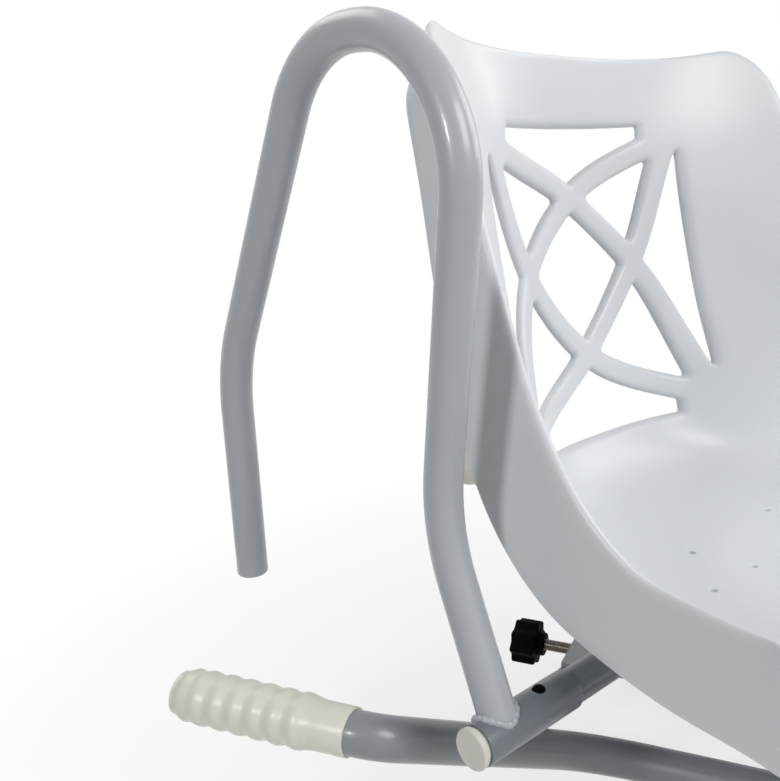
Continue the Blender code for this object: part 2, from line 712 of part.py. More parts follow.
def make_rails(base):
    """Flat bars that carry the base plate; their ends bend outward to the rising parts of both bows."""
    middle = RAIL_OUTER_Y - RAIL_WIDTH / 2.0
    end_x, end_y = rail_end()
    for name, side in (("cross_rail_front", -1.0), ("cross_rail_rear", 1.0)):
        line = [(-end_x, end_y), (-RAIL_STRAIGHT_HALF, middle), (RAIL_STRAIGHT_HALF, middle), (end_x, end_y)]
        outline = ([(x, side * (y - RAIL_WIDTH / 2.0)) for x, y in line]
                   + [(x, side * (y + RAIL_WIDTH / 2.0)) for x, y in reversed(line)])
        rail = add_piece(name, prism(outline, RAIL_TOP - RAIL_HEIGHT, RAIL_TOP), "dark_grey_enamel", base)
        for bow in (-1.0, 1.0):
            saddle = swept_tube(bow_line(bow), BASE_TUBE / 2.0 + GAP)
            combine(rail, add_guide(f"{name}_saddle_{int(bow)}", saddle, base))
        if side > 0.0:
            hole = rod(STUD / 2.0 + GAP, RAIL_OUTER_Y - RAIL_WIDTH * 2.0, RAIL_OUTER_Y + RAIL_WIDTH, 16, "Y")
            bmesh.ops.translate(hole, verts=hole.verts[:], vec=(0.0, 0.0, lock_height()))
            combine(rail, add_guide("stud_hole", hole, base))


def make_turntable(base):
    """The stack on the swivel axis, from the base plate up to the turning plate and down to the nut."""
    level = turntable_levels()
    size = (2.0 * BASE_PLATE_HALF_X, 2.0 * RAIL_OUTER_Y, BASE_PLATE_THICKNESS)
    plate = add_piece("base_plate", block(size, (0.0, 0.0, level["plate"] + size[2] / 2.0)),
                      "dark_grey_enamel", base)
    combine(plate, add_guide("plate_bore", rod(BUSH_OUTER / 2.0 + GAP, -0.1, 0.1, 24), base))
    for name, low, high in (("upper_bearing_ring", level["upper"], level["upper"] + RING_HEIGHT),
                            ("lower_bearing_ring", level["lower"], level["lower"] + LOWER_RING_HEIGHT)):
        add_piece(name, pipe(RING_OUTER / 2.0, BUSH_OUTER / 2.0 + GAP, low, high), "nylon", base)
    turn = level["turn"]
    bolt_hole = PIVOT_BOLT / 2.0 + GAP
    plate = add_piece("turntable_plate", block(TURNTABLE_PLATE, (0.0, 0.0, turn + TURNTABLE_PLATE[2] / 2.0)),
                      "zinc_steel")
    combine(plate, add_guide("turntable_bore", rod(bolt_hole, -0.1, 0.1, 24)))
    disc_top = level["disc"] + LOCK_DISC_HEIGHT
    add_piece("pivot_bush", pipe(BUSH_OUTER / 2.0, bolt_hole, disc_top + GAP, turn - GAP, 24), "zinc_steel")
    add_piece("lock_disc", pipe(LOCK_DISC / 2.0, bolt_hole, level["disc"], disc_top, 48), "zinc_steel")
    washer_low = level["disc"] - GAP - WASHER
    add_piece("pivot_washer", pipe(PIVOT_BOLT, bolt_hole, washer_low, washer_low + WASHER, 24), "zinc_steel")
    nut_low = washer_low - GAP - PIVOT_BOLT * NUT_HEIGHT
    across = PIVOT_BOLT * HEX_ACROSS
    nut = add_piece("pivot_nut", hexagon(across, nut_low, washer_low - GAP), "zinc_steel")
    combine(nut, add_guide("nut_bore", rod(bolt_hole, -0.1, 0.1, 24)))
    head_low = turn + TURNTABLE_PLATE[2] + GAP
    bolt = add_piece("pivot_bolt", hexagon(across, head_low, head_low + PIVOT_BOLT * HEX_HEAD), "zinc_steel")
    shank = rod(PIVOT_BOLT / 2.0, nut_low - 0.002, head_low + 0.002, 24)
    combine(bolt, add_guide("bolt_shank", shank), "UNION")


def turntable_levels():
    """Heights of the stack's undersides, each piece a gap from the next."""
    level = {"plate": RAIL_TOP + GAP}
    level["upper"] = level["plate"] + BASE_PLATE_THICKNESS + GAP
    level["turn"] = level["upper"] + RING_HEIGHT + GAP
    level["lower"] = level["plate"] - GAP - LOWER_RING_HEIGHT
    level["disc"] = level["lower"] - GAP - LOCK_DISC_HEIGHT
    return level


def lock_height():
    return RAIL_TOP - RAIL_HEIGHT / 2.0


def make_lock_screw(base):
    """The star knob and its stud, which turn in the pad that the stud presses on the lock disc."""
    height = lock_height()
    pad_y = LOCK_DISC / 2.0 + LOCK_TRAVEL + GAP
    pad_size, pad_depth = PAD_SIZE
    pad = add_piece("lock_pad", rod(pad_size / 2.0, 0.0, pad_depth, 24, "Y", 0.001), "nylon", base,
                    (0.0, pad_y, height))
    socket = rod(STUD_TIP + GAP, pad_depth * PAD_SOCKET, pad_depth + 0.01, 16, "Y")
    combine(pad, add_guide("pad_socket", socket, base, (0.0, pad_y, height)))
    tip = pad_y + pad_depth * PAD_SOCKET + GAP
    knob_low = KNOB_Y - KNOB_THICKNESS / 2.0
    stud_end = knob_low + KNOB_THICKNESS * 0.55
    neck = pad_y + pad_depth + GAP
    profile = [(0.0, tip), (STUD_TIP, tip), (STUD_TIP, neck), (STUD / 2.0, neck + 0.001),
               (STUD / 2.0, stud_end), (0.0, stud_end)]
    add_piece("lock_stud", turned([(r, h - tip) for r, h in profile], 24, "Y"), "zinc_steel", base,
              (0.0, tip, height))
    outline = []
    steps = 6
    for k in range(KNOB_LOBES * steps):
        angle = 2.0 * math.pi * k / (KNOB_LOBES * steps)
        radius = KNOB_OUTER / 2.0 - KNOB_HOLLOW * (0.5 - 0.5 * math.cos(KNOB_LOBES * angle)) ** 0.8
        outline.append((radius * math.cos(angle), radius * math.sin(angle)))
    shape = prism(outline, 0.0, KNOB_THICKNESS)
    bmesh.ops.rotate(shape, verts=shape.verts[:], matrix=Matrix.Rotation(math.radians(-90.0), 3, "X"))
    knob = add_piece("lock_knob", shape, "black_plastic", base, (0.0, knob_low, height))
    hub = rod(KNOB_HUB_OUTER / 2.0, -KNOB_HUB, 0.002, 24, "Y", 0.0008)
    bore = rod(STUD / 2.0 + GAP, -KNOB_HUB - 0.01, stud_end - knob_low + GAP, 16, "Y")
    soften(knob, 0.0015, 2, 50.0)
    combine(knob, add_guide("knob_hub", hub, base, (0.0, knob_low, height)), "UNION")
    combine(knob, add_guide("knob_bore", bore, base, (0.0, knob_low, height)))
    nut_height = STUD * NUT_HEIGHT
    shape = hexagon(STUD * HEX_ACROSS, 0.0, nut_height)
    bmesh.ops.rotate(shape, verts=shape.verts[:], matrix=Matrix.Rotation(math.radians(-90.0), 3, "X"))
    place = (0.0, RAIL_OUTER_Y - RAIL_WIDTH - GAP - nut_height, height)
    nut = add_piece("lock_nut", shape, "zinc_steel", base, place)
    combine(nut, add_guide("lock_nut_bore", rod(STUD / 2.0 + GAP, -0.01, 0.03, 16, "Y"), base, place))


def make_cradles():
    """Two bent sheet uprights from the turning plate to the bosses, with a hole for the carrier tube."""
    low = turntable_levels()["turn"] + TURNTABLE_PLATE[2] + GAP
    high = BOSS_FACE - GAP
    for name, side in (("cradle_left", -1.0), ("cradle_right", 1.0)):
        inner = CRADLE_X - SHEET / 2.0
        outer = CRADLE_X + SHEET / 2.0
        outline = [(inner - FLANGE, low), (outer, low), (outer, high - SHEET),
                   (outer + FLANGE, high - SHEET), (outer + FLANGE, high), (inner, high),
                   (inner, low + SHEET), (inner - FLANGE, low + SHEET)]
        if side < 0.0:
            outline = outline[::-1]
        shape = prism([(side * x, z) for x, z in outline], -CRADLE_DEPTH / 2.0, CRADLE_DEPTH / 2.0)
        turn = Matrix.Rotation(math.radians(90.0), 3, "X")
        bmesh.ops.rotate(shape, verts=shape.verts[:], matrix=turn)
        cradle = add_piece(name, shape, "zinc_steel")
        hole = rod(ARM_TUBE / 2.0 + GAP, -0.02, 0.02, 24, "X")
        place = (side * CRADLE_X, 0.0, CARRIER_HEIGHT)
        combine(cradle, add_guide(f"{name}_bore", hole, None, place))
        for x, y in screw_spots():
            if x * side > 0.0:
                hole = rod(SCREW / 2.0 + GAP, -0.01, 0.01, 12)
                combine(cradle, add_guide(f"{name}_screw_{y:.3f}", hole, None, (x, y, high)))


def make_screws():
    """Pan-head screws from under the cradle flanges up into the bosses."""
    head_top = BOSS_FACE - GAP - SHEET - GAP
    names = ("left_front", "left_rear", "right_front", "right_rear")
    for label, (x, y) in zip(names, screw_spots()):
        top = SCREW_LENGTH - 0.001
        profile = [(0.0, -SCREW * 0.6), (SCREW * 0.8, -SCREW * 0.6), (SCREW, -SCREW * 0.3), (SCREW, 0.0),
                   (SCREW / 2.0, 0.0), (SCREW / 2.0, top - 0.002), (0.0, top)]
        add_piece(f"seat_screw_{label}", turned(profile, 12), "zinc_steel", None, (x, y, head_top))


def button_hole(side):
    """A hole down from above into the top of the tubes at one button."""
    hole = rod(BUTTON / 2.0 + GAP, 0.0, BUTTON_HOLE_DEPTH, 20)
    bmesh.ops.rotate(hole, verts=hole.verts[:], matrix=Matrix.Rotation(TWIST, 3, "Z"))
    return hole, (side * BUTTON_X, 0.0, CARRIER_HEIGHT)


def make_carrier():
    """The cross tube, with a button hole near each end, and the cap on the end that has no armrest."""
    bore = ARM_TUBE / 2.0 - ARM_TUBE_WALL
    shape = pipe(ARM_TUBE / 2.0, bore, -CARRIER_HALF, CARRIER_HALF, 32, "X")
    tube = add_piece("carrier_tube", shape, "grey_enamel", None, (0.0, 0.0, CARRIER_HEIGHT))
    for side in (-1.0, 1.0):
        hole, place = button_hole(side)
        combine(tube, add_guide(f"carrier_hole_{int(side)}", hole, None, place))
    stem = bore - GAP
    profile = [(0.0, -CAP_STEM), (stem - 0.001, -CAP_STEM), (stem, 0.001 - CAP_STEM), (stem, GAP),
               (ARM_TUBE / 2.0, GAP), (ARM_TUBE / 2.0, 0.003), (ARM_TUBE / 2.0 - 0.001, 0.004), (0.0, 0.004)]
    place = (CARRIER_HALF, 0.0, CARRIER_HEIGHT)
    add_piece("carrier_cap", turned(profile, 32, "X"), "ivory_plastic", None, place)


def make_snap_button(name, side):
    """A spring button: the pin and its leaf move, the bent clip stays in the tube."""
    bore = ARM_TUBE / 2.0 - ARM_TUBE_WALL
    flange = BUTTON / 2.0 + BUTTON_FLANGE
    flange_top = math.sqrt(bore ** 2 - flange ** 2) - GAP
    flange_low = flange_top - 0.0015
    top = SLEEVE / 2.0 + BUTTON_STANDS
    radius = BUTTON / 2.0
    profile = [(0.0, flange_low), (flange, flange_low), (flange, flange_top), (radius, flange_top),
               (radius, top - 0.0026), (radius * 0.87, top - 0.0012), (radius * 0.5, top - 0.0003),
               (0.0, top)]
    place = (side * BUTTON_X, 0.0, CARRIER_HEIGHT)
    add_piece(f"snap_button_{name}", turned(profile, 20), "black_plastic", None, place)
    width = BUTTON * 0.9
    leaf_top = flange_low - GAP
    centre = (-side * (SPRING_LENGTH / 2.0 - flange), 0.0, leaf_top - SPRING_LEAF / 2.0)
    leaf = block((SPRING_LENGTH, width, SPRING_LEAF), centre)
    add_piece(f"snap_leaf_{name}", leaf, "zinc_steel", None, place)
    back = -side * (SPRING_LENGTH - flange + GAP)
    floor = -math.sqrt(bore ** 2 - (width / 2.0) ** 2) + GAP
    far = back - side * SPRING_LEAF
    outline = [(0.0, floor), (far, floor), (far, leaf_top), (back, leaf_top), (back, floor + SPRING_LEAF),
               (0.0, floor + SPRING_LEAF)]
    shape = prism(outline, -width / 2.0, width / 2.0)
    bmesh.ops.rotate(shape, verts=shape.verts[:], matrix=Matrix.Rotation(math.radians(90.0), 3, "X"))
    add_piece(f"snap_clip_{name}", shape, "zinc_steel", None, place)


def arm_corners():
    """Corners of the armrest's middle line, from the weld on the sleeve to the free end."""
    front, rear, top = ARM_TOP
    corners = [(0.0, 0.0), ARM_LEG_LEAN, (front, top), (rear, top), ARM_FREE_BEND, ARM_FREE_END]
    return [(0.0, y, z) for y, z in corners]


def make_armrest():
    """The armrest weldment: the bent tube stands on the sleeve that slides over the carrier tube."""
    place = (-ARM_X, 0.0, CARRIER_HEIGHT)
    radii = [ARM_LEG_RADIUS, ARM_TOP_RADIUS, ARM_TOP_RADIUS, ARM_LEG_RADIUS]
    shape = swept_tube(bent_line(arm_corners(), radii), ARM_TUBE / 2.0, 16, 0.004)
    arm = add_piece("armrest", shape, "grey_enamel", None, place)
    outer, inner = ARM_X - SLEEVE_OUTER_X, ARM_X - SLEEVE_INNER_X
    sleeve = rod(SLEEVE / 2.0, outer, inner, 32, "X")
    combine(arm, add_guide("sleeve_outside", sleeve, None, place), "UNION")
    bore = rod(ARM_TUBE / 2.0 + GAP, outer - 0.01, inner + 0.01, 32, "X")
    combine(arm, add_guide("sleeve_inside", bore, None, place))
    hole, spot = button_hole(-1.0)
    combine(arm, add_guide("sleeve_hole", hole, None, spot))
    face, depth = SLEEVE_CAP
    stem = ARM_TUBE / 2.0 - GAP
    profile = [(0.0, -CAP_STEM), (stem - 0.001, -CAP_STEM), (stem, 0.001 - CAP_STEM), (stem, 0.0015),
               (face / 2.0 - 0.0008, 0.0015), (face / 2.0, 0.0023), (face / 2.0, depth - 0.001),
               (face / 2.0 - 0.001, depth), (0.0, depth)]
    shape = turned(profile, 32, "X")
    bmesh.ops.rotate(shape, verts=shape.verts[:], matrix=Matrix.Rotation(math.pi, 3, "Z"))
    add_piece("sleeve_cap", shape, "ivory_plastic", None, (-SLEEVE_OUTER_X, 0.0, CARRIER_HEIGHT))


def main():
    remove_everything()
    base = bpy.data.objects.new("base_turned", None)
    base.rotation_euler = (0.0, 0.0, BASE_TURN)
    bpy.context.scene.collection.objects.link(base)
    make_base_tube("base_tube_left", -1.0, base)
    make_base_tube("base_tube_right", 1.0, base)
    make_grips(base)
    make_rails(base)
    make_turntable(base)
    make_lock_screw(base)
    make_cradles()
    make_screws()
    make_carrier()
    make_snap_button("left", -1.0)
    make_snap_button("right", 1.0)
    make_armrest()
    make_shell()


if __name__ == "__main__":
    main()
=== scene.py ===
"""Looks of the swivel bath seat: finer shapes for its visible pieces, their finishes, the floor and the light."""
import json
import math

import bmesh
import bpy
import numpy as np
from mathutils import Matrix, Vector
from mathutils.geometry import delaunay_2d_cdt


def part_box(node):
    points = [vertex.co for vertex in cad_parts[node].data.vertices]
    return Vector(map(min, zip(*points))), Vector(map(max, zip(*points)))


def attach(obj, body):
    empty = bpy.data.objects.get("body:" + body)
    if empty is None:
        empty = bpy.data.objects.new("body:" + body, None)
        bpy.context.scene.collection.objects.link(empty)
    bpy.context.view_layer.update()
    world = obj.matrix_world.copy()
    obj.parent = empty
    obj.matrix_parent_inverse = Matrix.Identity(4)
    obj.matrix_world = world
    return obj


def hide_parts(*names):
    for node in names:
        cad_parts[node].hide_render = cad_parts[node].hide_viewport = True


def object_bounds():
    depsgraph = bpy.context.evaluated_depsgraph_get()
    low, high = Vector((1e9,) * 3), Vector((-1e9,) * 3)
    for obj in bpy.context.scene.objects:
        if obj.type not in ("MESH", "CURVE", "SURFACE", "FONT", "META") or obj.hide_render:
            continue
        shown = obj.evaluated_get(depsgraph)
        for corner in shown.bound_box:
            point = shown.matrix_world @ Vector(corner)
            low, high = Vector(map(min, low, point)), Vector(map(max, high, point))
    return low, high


bl_info = {
    "name": "Swivel bath seat",
    "version": (1, 0, 0),
    "blender": (4, 5, 0),
    "location": "View3D > Sidebar > Bath seat",
    "description": "Builds the visible pieces and finishes of a swivel bath seat around its packed frame",
    "category": "Object",
}

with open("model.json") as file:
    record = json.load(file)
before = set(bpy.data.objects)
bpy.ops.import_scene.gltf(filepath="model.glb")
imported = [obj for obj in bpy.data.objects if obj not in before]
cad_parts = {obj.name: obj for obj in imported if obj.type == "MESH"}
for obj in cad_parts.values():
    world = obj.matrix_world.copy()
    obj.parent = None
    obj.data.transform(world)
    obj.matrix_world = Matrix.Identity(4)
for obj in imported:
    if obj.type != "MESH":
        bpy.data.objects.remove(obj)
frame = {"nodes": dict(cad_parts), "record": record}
CAD_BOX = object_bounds()

# The base is turned under the seat; these are its own axes in the row frame
BASE = Matrix.Rotation(math.radians(25.0), 4, "Z")

# Heights and middle lines that the pieces share with the frame
CARRIER_HEIGHT = 0.041
ARM_X = -0.2566
LOCK_HEIGHT = -0.0415

# Radii of the tubes and the sleeve, and places of the sleeve's and carrier's ends, buttons, bows, grips and knob
ARM_TUBE = 0.0125
SLEEVE, SLEEVE_BORE = 0.0140, 0.0128
SLEEVE_OUTER, SLEEVE_INNER = -0.2765, -0.193
CARRIER_END = 0.262
BUTTON_X = 0.222
BUTTON_HOLE = 0.0047
BASE_TUBE = 0.015
BOW_X, BOW_HEIGHT = 0.238, 0.019
GRIP_END = 0.353
KNOB_NEAR, KNOB_FAR = 0.1605, 0.1825

# Shell stations: middle line, rim and skirt edge as (y, height above the carrier), inset of the sides, power
STATIONS = [
    ((-0.255, 0.049), (-0.240, 0.072), (-0.250, 0.034), 0.050, 4.0),
    ((-0.215, 0.0545), (-0.226, 0.088), (-0.230, 0.036), 0.016, 4.5),
    ((-0.150, 0.055), (-0.188, 0.100), (-0.190, 0.038), 0.000, 5.0),
    ((0.000, 0.054), (-0.135, 0.102), (-0.136, 0.039), 0.000, 5.0),
    ((0.062, 0.057), (-0.100, 0.104), (-0.083, 0.042), 0.000, 4.4),
    ((0.105, 0.074), (-0.070, 0.1075), (-0.025, 0.055), 0.000, 3.6),
    ((0.130, 0.107), (-0.049, 0.115), (0.010, 0.070), 0.000, 2.8),
    ((0.143, 0.150), (-0.012, 0.144), (0.051, 0.107), 0.000, 2.4),
    ((0.154, 0.200), (0.025, 0.200), (0.084, 0.172), 0.000, 2.4),
    ((0.165, 0.258), (0.049, 0.258), (0.103, 0.258), 0.000, 2.4),
    ((0.1745, 0.325), (0.074, 0.325), (0.116, 0.330), 0.000, 2.4),
    ((0.177, 0.380), (0.095, 0.381), (0.127, 0.376), 0.000, 2.4),
    ((0.1766, 0.4168), (0.124, 0.435), (0.136, 0.405), 0.003, 2.8),
]
# Half the width, how far the skirt stands out, corners of the face, lips at the top and front, and the rolled rim
SHELL_HALF = 0.200
SKIRT_FLARE = 0.013
CORNER_LOW, CORNER_HIGH = 0.045, 0.028
TOP_LIP = (0.0, 0.014, -0.010)
FRONT_LIP = (0.0, -0.006, -0.027)
RIM_REACH = 0.0105
RIM_WIDER = 0.0035

# Lattice in the back, as (x, height above the carrier)
TOP_JOINT = (0.112, 0.357)
TOP_NODE = 0.3090
SIDE_NODE = (0.0665, 0.2475)
LOW_NODE = 0.1715
LOW_JOINT = (0.121, 0.110)
BAR = 0.0215
OUTLINE_STEP = 0.0032
WINDOW_TOP = 0.368
WINDOW_TOP_HALF = 0.084
WINDOW_LOW = 0.099
WINDOW_LOW_HALF = 0.0925
WINDOW_SIDE = ((0.125, 0.156), (0.121, 0.345))
CUT_LEAN = math.tan(math.radians(10.0))
CUT_MIDDLE_Y = 0.16
DRAIN_SPOTS = [(0.056, -0.003), (0.042, -0.049), (0.096, -0.049)]
DRAIN_RADIUS, DRAIN_FLARE, DRAIN_BACK = 0.0026, 0.0009, 0.0004
WINDOW_BACK = 0.0008
BOSS_X, BOSS_Y, BOSS_HEIGHT = 0.079, 0.038, 0.0805

# The photograph's camera as fitted to it: pixels, sensor in millimetres, metres and degrees
PHOTO_FOCAL, PHOTO_WIDTH, SENSOR = 914.6, 780.0, 36.0
PHOTO_SHIFT = (-0.1773, -0.0088)
PHOTO_PLACE = (-0.5993, -0.3568, 0.4066)
PHOTO_ANGLES = (74.34, 0.0, -45.86)

# Radius of the floor and its gap below the object, distances where it fades to plain white, and the least white
FLOOR_RADIUS, FLOOR_GAP = 0.85, 0.0002
FADE_NEAR, FADE_FAR, FADE_LEAST = 0.20, 0.75, 0.75

# Lamps: name, place, aim, size and power in watts
LAMPS = [
    ("key", (0.15, -2.05, 1.75), (0.0, 0.0, 0.2), (1.3, 1.3), 36.0),
    ("left", (-1.5, -0.15, 0.80), (-0.1, 0.0, 0.15), (0.22, 0.22), 5.6),
    ("rear", (-0.3, 1.9, 1.9), (0.0, 0.0, 0.2), (1.2, 1.2), 9.0),
    ("strip_near", (1.9, -1.0, 1.5), (-0.2, 0.1, 0.4), (0.12, 1.6), 11.0),
    ("strip_far", (2.1, -0.2, 1.3), (-0.2, 0.1, 0.4), (0.12, 1.6), 11.0),
]

# Finishes by material slot: name, colour or the property that holds it, roughness, scale and height of the grain,
# spread of the tone, scuffs, scale of the tone, and what else differs from the usual. The last two finishes are
# those of the sleeve on the carrier and of the lock's stud. The sleeve's colour, which the carrier tube shares, is the
# armrest's grey enamel made darker as painted shade for the shadow under the seat
FINISHES = {
    "seat_plastic": ("moulded_shell", "shell", 0.33, 650.0, 0.00003, 0.012, 0.0, 5.0,
                     dict(specular=0.45, tint=(0.93, 0.92, 0.90))),
    "grey_enamel": ("armrest_enamel", "tube", 0.33, 420.0, 0.000045, 0.05, 0.12, 9.0,
                    dict(coat=0.35, coat_roughness=0.10)),
    "dark_grey_enamel": ("base_enamel", "base", 0.34, 420.0, 0.000015, 0.07, 0.10, 9.0,
                         dict(coat=0.25, coat_roughness=0.12)),
    "ivory_vinyl": ("grip_vinyl", "grip", 0.33, 1100.0, 0.00005, 0.05, 0.16, 16.0, dict(tint=(0.86, 0.83, 0.76))),
    "ivory_plastic": ("cap_plastic", "cap", 0.42, 1200.0, 0.00003, 0.04, 0.12, 30.0, {}),
    "black_plastic": ("knob_plastic", "knob", 0.55, 1400.0, 0.00004, 0.2, 0.15, 40.0,
                      dict(specular=0.03, tint=(1.7, 1.7, 1.7))),
    "nylon": ("bearing_nylon", (0.62, 0.60, 0.54), 0.48, 1000.0, 0.00003, 0.05, 0.12, 24.0, {}),
    "zinc_steel": ("zinc_plate", (0.56, 0.57, 0.58), 0.30, 1.0, 0.00002, 0.10, 0.3, 22.0,
                   dict(metallic=1.0, brushed=(700.0, 700.0, 30.0), tint=(0.80, 0.78, 0.72))),
    # Darker than the armrest's enamel: painted shade for the shadow that the seat casts on the sleeve and carrier
    "sleeve": ("sleeve_enamel", "sleeve", 0.36, 420.0, 0.00005, 0.10, 0.20, 22.0,
               dict(coat=0.12, coat_roughness=0.2)),
    "stud": ("stud_steel", (0.17, 0.15, 0.13), 0.34, 900.0, 0.00002, 0.15, 0.3, 60.0, dict(metallic=1.0)),
}

# How the shared effects act on a finish
TONE_LOW, TONE_HIGH = 0.3, 0.7
SCUFF_LOW, SCUFF_HIGH = 0.58, 0.74
SMOOTHER, ROUGHER = 0.86, 1.14
SCUFF_DULLING = 0.35
LINE_DULLING = 0.16

# Sockets of a colour Mix node
MIX_A, MIX_B, MIX_RESULT = 6, 7, 2


def length_property(name, description, default, low, high):
    return bpy.props.FloatProperty(name=name, description=description, default=default, min=low, max=high,
                                   subtype="DISTANCE", unit="LENGTH")


def colour_property(name, description, default):
    return bpy.props.FloatVectorProperty(name=name, description=description, default=default, min=0.0, max=1.0,
                                         size=3, subtype="COLOR")


class BathSeatShell(bpy.types.PropertyGroup):
    """Sizes of the moulded shell that a user might change."""
    wall: length_property("Wall", "Thickness of the moulding", 0.0075, 0.003, 0.010)
    flare: length_property("Flare", "How far an opening widens towards the front", 0.0070, 0.001, 0.010)
    corner: length_property("Corner", "Radius in the corners of the openings", 0.0034, 0.001, 0.010)
    spacing: length_property("Spacing", "Distance between the surface's points", 0.0058, 0.003, 0.020)


class BathSeatFinish(bpy.types.PropertyGroup):
    """Colours of the finishes."""
    shell: colour_property("Shell", "Colour of the moulded shell", (0.785, 0.81, 0.835))
    tube: colour_property("Armrest", "Enamel of the armrest tube", (0.47, 0.495, 0.525))
    # The sleeve's and carrier's colour is the armrest's enamel made darker: painted shade for the shadow under the seat
    sleeve: colour_property("Sleeve", "Enamel of the sleeve and carrier", (0.185, 0.206, 0.23))
    base: colour_property("Base", "Enamel of the base tubes", (0.275, 0.292, 0.315))
    grip: colour_property("Grips", "Colour of the vinyl grips", (0.85, 0.84, 0.735))
    cap: colour_property("Caps", "Colour of the tube caps", (0.775, 0.75, 0.68))
    knob: colour_property("Knob", "Colour of the knob and buttons", (0.002, 0.002, 0.0022))


# ---- shared effects and finishes


def join(tree, sockets, inputs):
    """Gives each named socket a value, or a link where another node's output is given."""
    for name, value in inputs.items():
        if isinstance(value, bpy.types.NodeSocket):
            tree.links.new(value, sockets[name])
        else:
            sockets[name].default_value = value


def add(tree, kind, inputs=None, out=0, **settings):
    """Adds a node with its settings and inputs. Gives one of its outputs, or all of them for None."""
    node = tree.nodes.new("ShaderNode" + kind)
    for name, value in settings.items():
        setattr(node, name, value)
    join(tree, node.inputs, inputs or {})
    return node.outputs if out is None else node.outputs[out]


def background_rays(tree):
    """1 for the rays that show the background: the camera's own, and those off metal or through glass."""
    path = add(tree, "LightPath", out=None)
    total = path["Is Camera Ray"]
    for name in ("Is Glossy Ray", "Is Transmission Ray"):
        total = add(tree, "Math", {0: total, 1: path[name]}, operation="MAXIMUM")
    return total


def new_group(name, inputs, results):
    """A node group with its sockets, the values that it is given and the sockets of its results."""
    group = bpy.data.node_groups.new(name, "ShaderNodeTree")
    for title, value in inputs.items():
        kind = "NodeSocketFloat" if isinstance(value, float) else "NodeSocketVector"
        group.interface.new_socket(title, in_out="INPUT", socket_type=kind).default_value = value
    for title in results:
        group.interface.new_socket(title, in_out="OUTPUT", socket_type="NodeSocketFloat")
    return group, group.nodes.new("NodeGroupInput").outputs, group.nodes.new("NodeGroupOutput").inputs


def detail_group():
    """Fine grain, broad tone and scattered scuffs, all in object coordinates."""
    group, given, results = new_group(
        "surface_detail", {"Grain scale": 900.0, "Tone scale": 9.0, "Scuff scale": 60.0, "Scuff amount": 0.5},
        ("Height", "Tone", "Scuffs"))
    place = add(group, "TexCoord", out="Object")
    grain, tone, scuff = (
        add(group, "TexNoise", {"Vector": place, "Scale": given[scale], "Detail": detail, "Roughness": roughness,
                                "Distortion": distortion})
        for scale, detail, roughness, distortion in (("Grain scale", 3.0, 0.55, 0.0), ("Tone scale", 4.0, 0.6, 0.0),
                                                     ("Scuff scale", 8.0, 0.72, 1.4)))
    patch = add(group, "MapRange", {"Value": scuff, "From Min": SCUFF_LOW, "From Max": SCUFF_HIGH})
    amount = add(group, "Math", {0: patch, 1: given["Scuff amount"]}, operation="MULTIPLY")
    join(group, results, {"Height": grain, "Tone": tone, "Scuffs": amount})
    return group


def brushed_group():
    """Fine lines drawn out along one axis, for plated and turned metal."""
    group, given, results = new_group("brushed_lines", {"Stretch": (900.0, 900.0, 20.0)}, ("Lines",))
    place = add(group, "TexCoord", out="Object")
    drawn = add(group, "VectorMath", {0: place, 1: given["Stretch"]}, "Vector", operation="MULTIPLY")
    join(group, results, {"Lines": add(group, "TexNoise", {"Vector": drawn, "Scale": 1.0, "Detail": 4.0})})
    return group


def finish(name, colour, roughness, grain, bump, tone, scuffs, tone_scale, metallic=0.0, coat=0.0,
           coat_roughness=0.08, specular=0.5, brushed=None, tint=(0.85, 0.83, 0.78)):
    """A material whose colour, roughness and bump vary over the surface with the shared effects."""
    material = bpy.data.materials.new(name)
    material.use_nodes = True
    material.diffuse_color = (*colour, 1.0)
    tree = material.node_tree
    effect = add(tree, "Group", {"Grain scale": grain, "Tone scale": tone_scale, "Scuff amount": scuffs}, None,
                 node_tree=bpy.data.node_groups.get("surface_detail") or detail_group())
    low, high, dirt = ([min(1.0, c * t) for c, t in zip(colour, by)] + [1.0]
                       for by in ([1.0 - tone] * 3, [1.0 + tone] * 3, tint))
    clean = add(tree, "Mix", {0: effect["Tone"], MIX_A: low, MIX_B: high}, MIX_RESULT, data_type="RGBA")
    worn = add(tree, "Mix", {0: effect["Scuffs"], MIX_A: clean, MIX_B: dirt}, MIX_RESULT, data_type="RGBA")
    rough = add(tree, "MapRange", {"Value": effect["Tone"], "From Min": TONE_LOW, "From Max": TONE_HIGH,
                                   "To Min": roughness * SMOOTHER, "To Max": min(1.0, roughness * ROUGHER)})
    rough = add(tree, "Math", {0: effect["Scuffs"], 1: SCUFF_DULLING, 2: rough}, operation="MULTIPLY_ADD")
    height = effect["Height"]
    if brushed:
        height = add(tree, "Group", {"Stretch": brushed},
                     node_tree=bpy.data.node_groups.get("brushed_lines") or brushed_group())
        rough = add(tree, "Math", {0: height, 1: LINE_DULLING, 2: rough}, operation="MULTIPLY_ADD")
    join(tree, tree.nodes["Principled BSDF"].inputs, {
        "Base Color": worn, "Metallic": metallic, "Roughness": rough, "Specular IOR Level": specular,
        "Coat Weight": coat, "Coat Roughness": coat_roughness,
        "Normal": add(tree, "Bump", {"Strength": 1.0, "Distance": bump, "Height": height})})
    return material


def finish_for(slot):
    """The finish of a material slot, or of one of the pieces that have their own."""
    name, colour, *numbers, rest = FINISHES[slot]
    if isinstance(colour, str):
        colour = getattr(bpy.context.scene.bath_seat_finish, colour)
    return bpy.data.materials.get(name) or finish(name, colour, *numbers, **rest)


# ---- helpers for shapes


def in_scene(name, data):
    """A new object in the scene."""
    made = bpy.data.objects.new(name, data)
    bpy.context.scene.collection.objects.link(made)
    return made


def new_object(name, shape):
    """Puts a bmesh into the scene."""
    mesh = bpy.data.meshes.new(name)
    shape.to_mesh(mesh)
    shape.free()
    return in_scene(name, mesh)


def shade(mesh, sharp=38.0):
    """Smooth shading, with edges sharper than an angle in degrees left hard."""
    mesh.shade_smooth()
    mesh.set_sharp_from_angle(angle=math.radians(sharp))


